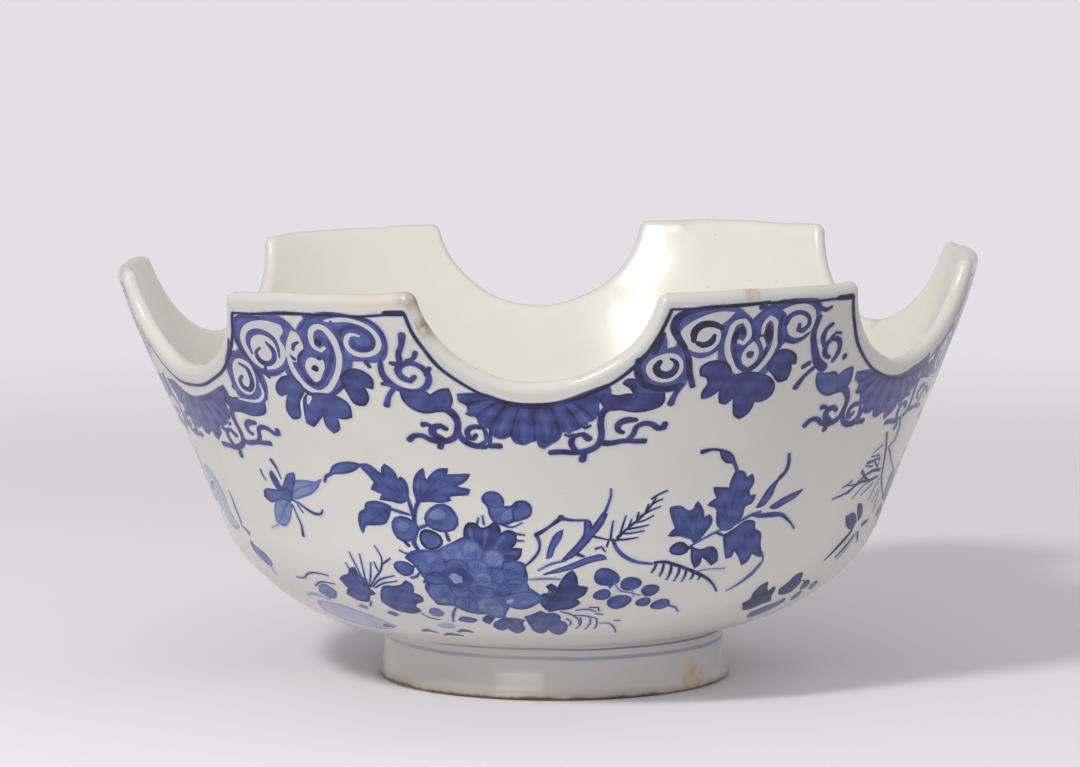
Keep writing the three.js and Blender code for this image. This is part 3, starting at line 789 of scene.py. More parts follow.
def shell_fan(p):
    """The fan under a notch, its middle at -4 across, with the scrolls on both sides."""
    # Fan: lobes at the bottom, and petals that run up from the gaps between them
    lobes = ((-28.2, 145.4), (-27.6, 142), (-25.6, 140.6), (-25.4, 136.6), (-23, 135.6), (-22, 132.4), (-18.8, 130.6),
             (-17.6, 127.6), (-15, 126.6), (-12.2, 128), (-11.3, 125.6), (-8.6, 124.5), (-5.4, 126), (-4, 126.4),
             (-3.2, 124), (-1.4, 123), (0.8, 124.6), (3.4, 126.6), (4.2, 129.4), (6.6, 129.6), (9.8, 131),
             (10.8, 133.4),
             (13.4, 133.6), (15.2, 137), (14.8, 140.6))
    p.area([*lobes, (18.4, 144.6), (17.4, 148.6), (10, 145.3), (3, 142.6), (-4.5, 141.2), (-12, 142.2), (-20, 145.6)],
           0.72)
    gaps = ((-25.6, 141), (-22.8, 135.8), (-18.6, 130.8), (-12, 128.4), (-4.6, 126.8), (3.6, 128), (9.4, 131.6),
            (13.6, 134.6))

    def rim_above(x):
        return 141.0 + 0.017 * (x + 4.7) ** 2

    for (x0, y0), (x1, y1) in zip(gaps, gaps[1:]):
        x, y = (x0 + x1) / 2, (y0 + y1) / 2 - 0.6
        top = -5 + (x + 5) * 0.62
        p.stroke([(x, y), ((x + top) / 2, (y + rim_above(top)) / 2), (top, rim_above(top) - 1.5)], [1.4, 2.6, 1.4],
                 0.66)
        p.stroke([(x, y + 2.0), ((x + top) / 2, (y + rim_above(top)) / 2)], [0.9, 0.5], 0.58)
        p.stroke([(x - 1.4, y - 0.5), (x, y - 1.4), (x + 1.4, y - 0.5)], [0.9, 1.2, 0.9], DEEP)
    for x, y in gaps:
        top = -5 + (x + 5) * 0.60
        p.stroke([(x, y), ((x + top) / 2, (y + rim_above(top)) / 2), (top, rim_above(top) - 0.6)], [0.8, 1.0, 0.8],
                 0.83)
    p.stroke([(-27.4, 145), (-20, 143.8), (-12, 140.8), (-5, 139.8), (3, 141), (11, 144), (17, 147)],
             [0.8, 1.4, 1.4, 0.8], 0.82)
    # Leaf and scrolls on the left
    p.area([(-46, 146.4), (-45.4, 141.8), (-42.8, 138.6), (-39.4, 137.3), (-35, 138.2), (-31.8, 138.8), (-30, 142),
            (-31, 147.4), (-33.6, 146.8), (-36.8, 144.6), (-38.6, 146.2), (-42, 146)], 0.68, edge=DEEP,
           edge_width=1.0)
    p.stroke([(-35.5, 139.4), (-31.4, 138.8), (-29.2, 135.6), (-29.3, 130.6), (-31, 127), (-34.6, 125.4),
              (-38.4, 125.9), (-41.4, 127.8), (-44, 127.6), (-46, 125.6)], [2.0, 3.0, 2.2, 2.2, 2.5, 2.2, 1.9, 2.1],
             DEEP)
    p.stroke([(-35, 126.4), (-37.6, 128.6), (-37.2, 131), (-34.6, 132), (-33, 130.6)], [2.4, 2.8, 2.4, 1.9], DEEP)
    p.stroke([(-37.3, 131), (-38.8, 132.4), (-40.4, 132.3)], [1.6, 1.6, 2.2], DEEP)
    p.stroke([(-35.4, 125), (-36.2, 123)], [2.0, 2.4], DEEP)
    p.stroke([(-29.6, 130.8), (-28.2, 126.6), (-25.2, 124.2), (-20.8, 123.6)], [1.8, 2.6, 2.2], DEEP)
    p.stroke([(-21.4, 131.4), (-24, 131.8), (-26.2, 130), (-26, 127.4), (-24.4, 126.8), (-23.4, 128.4)],
             [1.6, 2.1, 2.0, 2.2, 1.6], DEEP)
    p.stroke([(-20.8, 131.4), (-19.9, 128.6), (-20.2, 125.8), (-22.4, 124.6)], [1.2, 1.7, 1.6, 1.2], 0.74)
    p.stroke([(-19.4, 123.9), (-16, 123.9)], [2.0, 2.3], DEEP)
    p.stroke([(-18.4, 130.6), (-18.6, 127.4), (-19.2, 124.4)], [0.8, 1.4, 1.2], DEEP)
    # Leaf and scrolls on the right
    p.area([(15, 141.5), (16.4, 144.6), (20, 143.4), (24, 144), (26, 143.8), (24.4, 146.6), (22, 148.4),
            (23.4, 149.8), (27, 149), (30, 147.6), (34, 146.6), (35.4, 143), (34.6, 139.4), (30.6, 137.6),
            (26, 137.2), (21.8, 138), (18, 138)], 0.76, edge=0.86, edge_width=0.9)
    p.stroke([(18.8, 139.4), (16.4, 137), (16, 132.6), (16.4, 128), (15.4, 124), (12.6, 121.9), (8, 121), (4, 121.5),
              (0.6, 121.5)], [2.8, 2.2, 2.0, 2.2, 2.5, 2.1, 2.2], DEEP)
    p.stroke([(8.4, 121.8), (7.2, 125), (8.4, 128), (10.8, 128.6), (12.6, 126.6)], [2.0, 2.0, 1.7, 2.5], DEEP)
    p.stroke([(11.4, 121.4), (10.6, 117.8)], [1.8, 2.7], DEEP)
    p.stroke([(15.8, 125), (19, 124.6), (24, 125.3), (27.6, 125.1), (30.8, 125.2)], [2.4, 2.0, 1.9, 2.2], DEEP)
    p.stroke([(25, 125.4), (26.6, 128), (27.4, 131), (29.8, 132.3), (32.8, 131.6), (34.8, 130), (36.8, 130.2),
              (36.8, 131.6)],
             [2.1, 1.9, 2.0, 2.0, 2.3], DEEP)
    p.stroke([(27, 133.8), (23.8, 133.6), (21.4, 131.8), (21.6, 129.4), (23.2, 128.6)], [1.6, 2.6, 2.3, 2.0, 1.4],
             DEEP)


def rim_lines(p):
    """The thin dark line inside the rim: it follows the cut of each notch, and runs straight along raised parts."""
    turns, ups, across, rise = rim_outline()
    count = len(turns) // 6
    inset = 0.7 + NOTCH_INSET * np.maximum(rise, 0) ** 1.5
    sheet = np.stack((SHEET_RADIUS * turns - inset * across, ups - inset * rise), axis=1)
    corners = []
    for number in AROUND:
        first = (number % 6) * count + FILLET_STEPS
        arc = sheet[first:first + ARC_STEPS + 1] - (WHOLE_TURN if number < 0 else 0, 0)
        left_top = ups[first - FILLET_STEPS] - RAISED_INSET[number % 6]
        right_top = ups[first + ARC_STEPS + FILLET_STEPS] - RAISED_INSET[(number + 1) % 6]
        middle = ARC_STEPS // 2
        left = [tuple(q) for q in arc[:middle + 1] if q[1] < left_top - 0.4]
        right = [tuple(q) for q in arc[middle + 1:] if q[1] < right_top - 0.4]
        path = [(left[0][0] - 0.3, left_top), *left[::4], *right[2::4], (right[-1][0] + 0.3, right_top)]
        p.stroke(path, [1.0, 1.2, 0.9, 1.2, 1.0, 1.3, 1.0], RIM_LINE)
        corners.append((path[0], path[-1]))
    for k in range(6):
        x0, y0 = corners[k - 1][1]
        x0 -= WHOLE_TURN if k == 0 else 0
        x1, y1 = corners[k][0]
        x, y = (x0 + x1) / 2, (y0 + y1) / 2 + 0.4
        p.stroke([(x0, y0), (0.7 * x0 + 0.3 * x1, 0.7 * y0 + 0.3 * y1 + 0.2), (x, y)], [0.8, 1.0, 1.5, 0.9], RIM_LINE)
        p.stroke([(x - 1, y - 0.3), (0.25 * x0 + 0.75 * x1, 0.25 * y0 + 0.75 * y1 - 0.3), (x1, y1)],
                 [0.9, 0.8, 1.1], RIM_LINE)
        p.stroke([(x1 - 5.8, y1 + 0.1), (x1 - 0.6, y1 + 0.2)], [2.0, 2.2], 1.0, curved=False)
        p.dot(x - 2, y - 1.3, 1.5, 1.3, DEEP)


def raised_middle(number):
    """Turn, in degrees, of the middle of the raised part that stands before a notch."""
    left, right = NOTCHES[(number - 1) % 6], NOTCHES[number % 6]
    start = left[0] + left[1] - (360 if number < 1 else 0)
    end = right[0] - right[1] - (360 if number < 0 else 0)
    return (start + end) / 2


def border(material):
    """The whole border. Raised parts and fans follow the notches as they were cut, then the line inside the rim."""
    p = Painting()
    for number in AROUND:
        shift = math.radians(raised_middle(number) - raised_middle(number % 2)) * SHEET_RADIUS
        # Odd raised parts are painted darker, partly as painted shade
        p.move(shift, load=RAISED_LOADS_WITH_SHADE[number % 2])
        (mirrored_part if number % 2 else raised_part)(p)
        middle = NOTCHES[number % 6][0] - (360 if number < 0 else 0)
        across, up = FAN_MOVES[number % 6]
        p.move(math.radians(middle - NOTCHES[0][0]) * SHEET_RADIUS + across, up, load=FAN_LOADS[number % 2])
        shell_fan(p)
    p.move()
    rim_lines(p)
    names = [f"painted_border_{k + 1}" for k in range(6)]
    p.build(names, material, [-math.inf] + [PITCH * number + BORDER_SPLIT for number in AROUND[1:]])


# Sprays: flowers, leaves and reeds on the body of the bowl, and an insect

def leaf(p, outline, base, tips, tone=0.71):
    """A leaf with a brushed edge, and veins that run from its base toward its tips."""
    p.area(outline, tone, edge=tone + 0.09, edge_width=1.3)
    for tip in tips:
        middle = (0.5 * base[0] + 0.5 * tip[0], 0.5 * base[1] + 0.5 * tip[1])
        end = (0.16 * base[0] + 0.84 * tip[0], 0.16 * base[1] + 0.84 * tip[1])
        p.stroke([base, middle, end], [0.9, 0.9, 0.5], tone + 0.06)


def insect(p):
    p.area([(-104, 101), (-98, 104.4), (-92, 105.5), (-88, 105.6), (-85.4, 107.3), (-88.4, 103.2), (-92, 100.2),
            (-96.5, 98.4), (-101, 97.2), (-104, 98)], 0.45, edge=0.58, edge_width=0.9)
    p.area([(-105.5, 96), (-110, 95.4), (-114, 93), (-116.4, 89.6), (-118, 86.2), (-114.4, 84.8), (-110, 86.6),
            (-106.6, 90), (-103.6, 94.4)], 0.45, edge=0.58, edge_width=0.9)
    p.stroke([(-102, 99), (-96, 102), (-90, 104.2)], [0.9, 0.5], 0.60)
    p.stroke([(-106, 94.5), (-111, 90.4), (-115.4, 86.6)], [0.9, 0.5], 0.60)
    p.stroke([(-117.4, 85), (-120.6, 83.8), (-123.4, 83)], [0.9, 0.5], PALE)
    p.area([(-107, 99.6), (-103.4, 103.6), (-100.6, 107), (-97, 108.2), (-97.6, 105.2), (-99.6, 102), (-102, 98)],
           MID, edge=DEEP, edge_width=0.7)
    p.area([(-103, 101.4), (-107, 99.8), (-111.6, 99.6), (-116.4, 99.3), (-118.8, 96.6), (-116.4, 94.7), (-112, 95.2),
            (-108, 96.4), (-104.6, 95.2), (-102.4, 97.4)], MID, edge=DEEP, edge_width=0.8)
    p.area([(-110.2, 107.4), (-108.6, 108.4), (-106.6, 104.6), (-105.4, 100.4), (-108.6, 99.4), (-110.2, 103)], DEEP)
    p.stroke([(-117.4, 98.6), (-118.2, 96.6)], 1.4, LINE)
    p.stroke([(-115, 107.8), (-114.8, 105.4), (-113.8, 103.4)], [1.0, 0.6], DEEP)
    p.stroke([(-107, 113), (-105.6, 110), (-104.6, 105)], [1.7, 1.0, 0.5], DEEP)
    p.stroke([(-102.6, 96.4), (-99, 95), (-96, 93), (-92.6, 91.6), (-89.6, 92), (-88.2, 93.8)], [1.0, 0.9, 1.3, 0.5],
             DEEP)
    p.stroke([(-100.6, 94.6), (-99, 91.4)], [0.8, 0.6], DEEP)
    p.stroke([(-103.4, 94), (-103, 89), (-102.6, 86), (-104, 81.2)], [0.8, 0.8, 1.0, 1.5], DEEP)


def branch(p):
    """The leafy branch at the upper left, with its round fruits."""
    p.stroke([(-84, 106.2), (-82.8, 108.4), (-80.2, 109.8)], [1.1, 1.3, 1.4], DEEP)
    p.area([(-80.6, 109.8), (-78.8, 112.6), (-74.6, 114.9), (-70, 115.1), (-66.6, 114.3), (-69, 112.6), (-73, 111.1),
            (-77, 110.4)], MID, edge=DEEP, edge_width=1.0)
    p.stroke([(-51, 106), (-50.6, 100), (-50, 94), (-50.4, 88), (-52, 83), (-51, 80)], [1.0, 1.2, 1.8, 1.6, 2.4, 1.4],
             DEEP)
    p.stroke([(-46.8, 101), (-48.6, 97.6), (-49.8, 93)], [1.5, 1.3], DEEP)
    p.stroke([(-59, 96.8), (-55, 95.6), (-51.4, 94.6)], [1.0, 1.4, 0.8], DEEP)
    p.stroke([(-43.4, 91.2), (-46.6, 90), (-50, 88.6)], [1.2, 1.4, 1.6], DEEP)
    p.stroke([(-38.6, 88.4), (-38, 84.4)], [1.0, 1.4], DEEP)
    leaf(p, [(-66.8, 114.2), (-63.4, 114.2), (-60.6, 111.6), (-58.7, 109.6), (-58.4, 112.6), (-57, 114.8),
             (-54.9, 112.6), (-53.8, 108.2), (-52.2, 109.9), (-51, 108.4), (-50.6, 104), (-51.6, 101), (-54, 99.6),
             (-57, 100.2), (-61.8, 100.6), (-59.8, 102.6), (-64.4, 104.6), (-62.4, 107), (-64, 110.2)],
         (-53, 101), [(-65, 113.2), (-57, 114), (-63.8, 104.6), (-51.6, 108.6)])
    leaf(p, [(-47.4, 100.6), (-47.6, 106.4), (-46.2, 110.8), (-43.6, 113.6), (-43.4, 109.6), (-42.6, 108.6),
             (-40.4, 111.4), (-38, 113.4), (-35.2, 113.9), (-36.4, 111.2), (-32.4, 111.2), (-28.2, 111.4),
             (-30.4, 108.8), (-34.2, 106.8), (-31.4, 105.8), (-28.6, 105.2), (-29.2, 103.6), (-33.6, 103.2),
             (-36.8, 102.4), (-35.4, 101), (-38.6, 100.2), (-42.4, 100.8)],
         (-46, 101.4), [(-44.2, 112.6), (-36.2, 113), (-29.4, 110.8), (-29.4, 104.5), (-36.4, 101)])
    leaf(p, [(-58.4, 97.4), (-61.4, 98.7), (-65.4, 99), (-68, 98), (-69.2, 95.2), (-71.4, 93.9), (-72.8, 90.6),
             (-72.8, 85.6), (-70.8, 88.8), (-66.6, 89.5), (-62.6, 90.6), (-60.2, 93.6)],
         (-59.4, 96.4), [(-72, 88), (-68, 96.6), (-64, 92)])
    p.dot(-54.6, 88.6, 5.3, 4.8, MID, 20, DEEP, 1.1)
    p.dot(-55.2, 89.6, 2.6, 1.9, WASH, 30)
    p.dot(-39.4, 93.4, 6.0, 5.4, MID, 0, DEEP, 1.1)
    p.dot(-40.6, 95, 3.2, 2.2, WASH, 10)
    p.dot(-45, 84.4, 4.1, 3.9, MID, 0, LINE, 1.1)
    p.stroke([(-55.8, 83.2), (-54.4, 81.8)], [1.2, 1.5], LINE)
    p.stroke([(-59, 79.4), (-56, 78.2), (-53, 78.9), (-48, 79.8)], [0.7, 0.9, 0.8], DEEP)


def buds(p):
    """The pair of round buds and the dark tuft above the big flower."""
    p.area([(-22.4, 98.6), (-24, 101.6), (-22.4, 104), (-19, 104), (-17.4, 101.6), (-17.4, 98.6), (-14.4, 98.6),
            (-12.6, 100.6), (-9.4, 100.8), (-7.6, 98.8), (-8, 95), (-10.8, 93.4), (-13.4, 92.6), (-17, 91.4),
            (-20, 92.4), (-21.8, 95)], MID, edge=DEEP, edge_width=1.0)
    p.dot(-15.6, 95, 2.6, 1.9, WASH, 30)
    p.stroke([(-13.4, 93.4), (-13.8, 96.4), (-12.6, 99)], 0.8, DEEP)
    p.stroke([(-18, 98.8), (-20, 98.2), (-22, 98.8)], 0.8, DEEP)
    p.area([(-31, 83.6), (-31.4, 88.6), (-29.6, 91.4), (-27, 91.2), (-25.4, 89.6), (-23, 90.2), (-20.6, 92.2),
            (-18.8, 90.4), (-18.4, 87.4), (-15.4, 88.8), (-13.2, 87.8), (-13.2, 84.4), (-15, 81.6), (-11.2, 81.2),
            (-12, 78), (-15.4, 76.4), (-20, 78.6), (-27, 80.6)], DEEP, edge=LINE, edge_width=0.9)
    for line in (
        [(-28.6, 82.6), (-29.4, 89)], [(-24.6, 82), (-23.4, 88.6)], [(-20.8, 81.6), (-17.6, 86.4)],
        [(-18.6, 79.6), (-13.4, 79.8)],
    ):
        p.stroke(line, [1.0, 1.6], MID)
    for line in (
        [(-18, 91.6), (-14, 90.2), (-10.4, 92)], [(-13, 87.4), (-9.8, 86.8)], [(-13.6, 84.8), (-10.2, 84.4)],
        [(-26.6, 91.6), (-26, 94)], [(-24.2, 91.4), (-24.6, 95)],
    ):
        p.stroke(line, [0.9, 0.5], DEEP)


PEONY_HEART = (-33, 66)
PETALS = (  # tone and outline
    (0.54, ((-51, 62), (-49, 65.5), (-45, 66), (-41, 63.5), (-40.5, 59), (-42, 55), (-46, 53.8), (-50, 55.5),
            (-51.5, 58.5))),
    (0.56, ((-56.4, 77), (-51, 79.2), (-46, 79.4), (-42, 77), (-41, 73), (-44, 70), (-49, 69), (-52, 71),
            (-54.5, 74.5))),
    (0.46, ((-42, 79.6), (-39, 82), (-35, 82.8), (-33, 79.5), (-35, 76.5), (-39, 75.5), (-42, 77))),
    (0.48, ((-33.4, 80), (-31, 84.6), (-28, 84), (-25, 80.4), (-27, 76.5), (-31, 76.5))),
    (0.42, ((-25, 79.5), (-22, 80.5), (-18.5, 79), (-18, 75.5), (-21, 74), (-24.5, 75.5))),
    (0.60, ((-18, 76), (-14, 76.5), (-10.5, 74.5), (-10.5, 70), (-13, 67), (-17, 68), (-19, 71.5))),
    (0.55, ((-12, 68), (-10, 66), (-10.5, 62), (-14, 60), (-18, 62), (-18.5, 66), (-15.5, 68.5))),
    (0.50, ((-20, 60), (-15, 61.5), (-9, 62), (-4.5, 59), (-8, 55.5), (-12.5, 53), (-17, 53.5), (-20, 56))),
    (0.46, ((-31, 57), (-27, 59), (-22.5, 57), (-21, 52), (-21.5, 47.5), (-26, 47.5), (-31, 50), (-33, 54))),
    (0.54, ((-41, 57), (-37, 59.5), (-33, 57), (-32.5, 52.5), (-35, 49.8), (-39, 50.8), (-41.5, 53.5))),
    (0.55, ((-42, 64), (-39, 66), (-35, 64.5), (-34, 61), (-36.5, 58.5), (-40.5, 59.5))),
    (0.58, ((-41, 75), (-37, 76.5), (-33, 75.5), (-32, 72.5), (-36, 71), (-41, 72))),
    (0.50, ((-32, 76), (-28, 77), (-24.5, 75), (-25, 71.5), (-29, 71), (-32, 73))),
    (0.74, ((-44, 70.5), (-40, 72.5), (-34, 72), (-31, 69), (-33, 65.5), (-38, 64), (-43, 66))),
    (0.44, ((-31, 69), (-28, 71.5), (-24.5, 71), (-23, 68), (-25, 65.5), (-29, 66))),
    (0.55, ((-34, 64), (-29, 65), (-24, 64), (-23.5, 60.5), (-27, 58.5), (-32, 60))),
    (0.55, ((-23, 73.5), (-19.5, 73), (-18, 69.5), (-20, 66), (-23.5, 67.5))),
    (0.58, ((-22, 65), (-18.5, 66), (-17, 63), (-19, 60), (-22.5, 60.5))),
    (0.60, ((-50, 69), (-46, 71), (-43.5, 69), (-44, 65.5), (-48, 65), (-51, 66.5))),
)


def peony(p):
    """The big flower: scalloped petals, each with a darker brushed edge and a touch of shade at its root."""
    p.area([(-57, 76.4), (-54, 79), (-49, 79.8), (-44, 79.6), (-40, 81.6), (-36, 83.6), (-32, 85.6), (-29, 83),
            (-25, 80.4), (-20, 80), (-15.6, 77), (-10.6, 75.4), (-9.8, 70), (-10.4, 65.4), (-7, 62), (-3.8, 59),
            (-7, 55.4), (-11, 52.8), (-15, 52.6), (-18.4, 54.2), (-20.6, 50), (-21.6, 46), (-25.4, 46.6), (-29, 48.6),
            (-34, 49), (-38.6, 50.4), (-41, 53), (-46, 53.2), (-49.6, 53.6), (-51, 58), (-52, 62), (-50.6, 66),
            (-52.6, 70), (-54, 73.6)],
           0.64, edge=0.76, edge_width=1.1)
    for tone, petal in PETALS:
        tone += 0.05
        p.area(petal, tone, edge=min(tone + 0.13, 0.78), edge_width=0.9)
        x, y = sum(q[0] for q in petal) / len(petal), sum(q[1] for q in petal) / len(petal)
        away_x, away_y = x - PEONY_HEART[0], y - PEONY_HEART[1]
        reach = 1.6 / max(math.hypot(away_x, away_y), 1.0)
        for side in (-0.9, 0, 0.9):
            root_x = x - away_x * reach * 1.5 - away_y * side * reach
            root_y = y - away_y * reach * 1.5 + away_x * side * reach
            middle = (x - away_y * side * reach * 0.8, y + away_x * side * reach * 0.8)
            tip = (x + (away_x - away_y * side) * reach, y + (away_y + away_x * side) * reach)
            p.stroke([(root_x, root_y), middle, tip], [1.3, 0.8, 0.5], min(tone + 0.09, DEEP))
    p.area([(-41, 69), (-38.6, 70.5), (-35.6, 69), (-36, 66.4), (-39.4, 65.6)], 0.38)
    shades = ((-46, 56, 0.51), (-26, 53, 0.46), (-12, 56, 0.48), (-18, 57, 0.30), (-29, 81, 0.50), (-47, 76, 0.52))
    for x, y, tone in shades:
        p.dot(x, y, 1.8, 1.0, tone, 25)
    p.dot(-59, 71.6, 3.7, 2.9, MID, 0, DEEP, 1.1)
    p.stroke([(-55.4, 72.6), (-52.6, 73.4)], 1.0, DEEP)
    p.stroke([(-57.4, 67.4), (-54.6, 68.2), (-53, 70)], [0.9, 1.3, 0.7], DEEP)
    p.stroke([(-52, 65.4), (-50.6, 68)], [1.0, 0.6], DEEP)


def foot_leaves(p):
    """Leaves and blossoms under and beside the big flower."""
    leaf(p, [(-4.4, 60.2), (-3.6, 61), (-0.8, 60.4), (0, 62.4), (-2.2, 65), (-0.6, 65.8), (2.2, 63.6), (3.4, 66.6),
             (6.2, 71), (7.6, 72), (8.8, 69.6), (9.2, 65), (13, 64.2), (12, 61), (8.6, 58), (10.6, 55.6), (7.2, 52.8),
             (2, 52.2), (-1.6, 51), (-4, 54)],
         (-2.6, 55), [(7.4, 71), (12.4, 63.6), (10, 55.8), (-1, 65)], DEEP)
    leaf(p, [(-12.4, 46.8), (-8.6, 48.4), (-5.4, 50.6), (-3.6, 49.2), (0.6, 49.4), (3, 46.6), (2.6, 44.6),
             (5.6, 42.2), (6.2, 38), (5, 33.6), (3, 31.8), (0, 33.6), (-1.6, 36.6), (-3.2, 37.6), (-4, 34.8),
             (-6.2, 33.6), (-8.6, 35.4), (-10, 39.6)],
         (-3, 49), [(-6.2, 35), (3.2, 33), (1.6, 47)])
    leaf(p, [(-27, 41.4), (-24.6, 43.6), (-21.6, 45.4), (-18, 45.6), (-13.4, 44.6), (-14.6, 41.4), (-13.8, 38.4),
             (-15.6, 34.4), (-18, 33.2), (-20.2, 35.4), (-21.4, 38.4), (-24.6, 35.8), (-26.8, 37.6)],
         (-19, 44), [(-25.6, 37.4), (-17.4, 34.8)])
    p.area([(-32, 44.4), (-31, 42), (-29.4, 41), (-27.8, 43), (-25.8, 46), (-28, 48.4), (-30.6, 47)], DEEP)
    p.area([(-43.4, 43), (-40.6, 45.6), (-37.4, 45.4), (-34.6, 44.6), (-36.2, 42.4), (-40, 42)], MID, edge=DEEP)
    p.area([(-55.4, 47.6), (-53.6, 50.4), (-50.4, 50.4), (-48.4, 48), (-50.6, 45.8), (-53.6, 45.6)], WASH, edge=MID)
    p.stroke([(-41, 53), (-43.4, 49), (-45.6, 44), (-46.4, 41.6)], [0.8, 1.2, 0.7], MID)
    p.area([(-56.4, 38), (-53, 40), (-48, 40), (-46.6, 37.6), (-50.4, 35.8), (-55, 36.4)], 0.30)
    for line in (
        [(-48, 32.8), (-44.4, 34.6), (-40, 33.4)], [(-58.6, 28.8), (-54, 30), (-47.4, 29)],
        [(-69, 31.8), (-65, 33.2), (-60.8, 31)], [(-92, 32.6), (-89, 34), (-85.6, 33)],
    ):
        p.stroke(line, [1.4, 3.0, 1.4], MID)
        p.stroke(line, [0.6, 1.6, 0.5], DEEP)


def low_leaves(p):
    """The three leaves at the lower left, with their grass."""
    leaf(p, [(-76.4, 53), (-74.4, 57.4), (-70.6, 61.6), (-66, 62.2), (-62.4, 63.4), (-60, 65.6), (-58, 64),
             (-58.8, 59.6), (-55.6, 57.2), (-55.8, 55.6), (-59.2, 54), (-61, 51.6), (-59.4, 48.8), (-63.8, 47),
             (-68, 47.4), (-72, 48.6)],
         (-73, 50), [(-59.4, 64.4), (-56.6, 56.4), (-60.6, 49.4)])
    leaf(p, [(-92.6, 63.6), (-89, 65.6), (-86.4, 66.4), (-84.6, 69), (-82.2, 69.8), (-81.4, 66.4), (-78.4, 64.6),
             (-79, 60), (-77.8, 57.6), (-81.6, 56.2), (-84, 52.8), (-88.4, 52.4), (-94, 55.8), (-90.6, 59)],
         (-85, 56), [(-91.6, 63), (-83, 69), (-79, 64), (-92.4, 56)])
    leaf(p, [(-112, 54.4), (-108, 58.2), (-103.4, 59.2), (-100.6, 56.6), (-104.6, 52.4), (-109.6, 51.4)],
         (-109.6, 53), [(-102, 57)], WASH)
    p.area([(-123.5, 45.5), (-113, 47.4), (-103, 46.6), (-96, 43.6), (-90, 40), (-83, 35), (-90, 31.4), (-99, 30),
            (-110, 31), (-120, 32.4), (-130, 37.6)], 0.26, edge=PALE, edge_width=1.6)
    p.stroke([(-126, 50), (-118, 52), (-110, 50)], [1.0, 2.2, 1.0], PALE)
    p.area([(-79, 45.2), (-75.4, 47), (-72.6, 45.4), (-75, 43.6)], MID)
    p.area([(-94, 48.4), (-90.4, 50), (-87.6, 48.6), (-90, 46.6)], WASH)
    for line in (
        [(-122, 61), (-116, 61.6), (-111, 64.2), (-104, 65.4), (-98.6, 65)], [(-112, 57.6), (-106, 60.6), (-98, 61)],
        [(-80, 61), (-80.4, 68), (-82, 76.6)], [(-79.4, 61), (-78, 68), (-77.4, 76)],
        [(-78.6, 61), (-75, 67), (-73, 73)], [(-78, 61), (-73, 66), (-69, 70.6), (-67.6, 75), (-69.6, 80.4)],
        [(-77, 61), (-71, 65.4), (-64.4, 68)], [(-76, 60.6), (-70, 63.6), (-64, 65.4)],
        [(-81, 61), (-84, 66), (-85.6, 72)], [(-67.6, 73), (-63.6, 75.6)], [(-70.6, 69), (-71.6, 73.4)],
        [(-86, 49), (-83, 52)], [(-60, 47), (-57, 44), (-52, 43)],
    ):
        p.stroke(line, [0.6, 0.8, 0.45], 0.84)


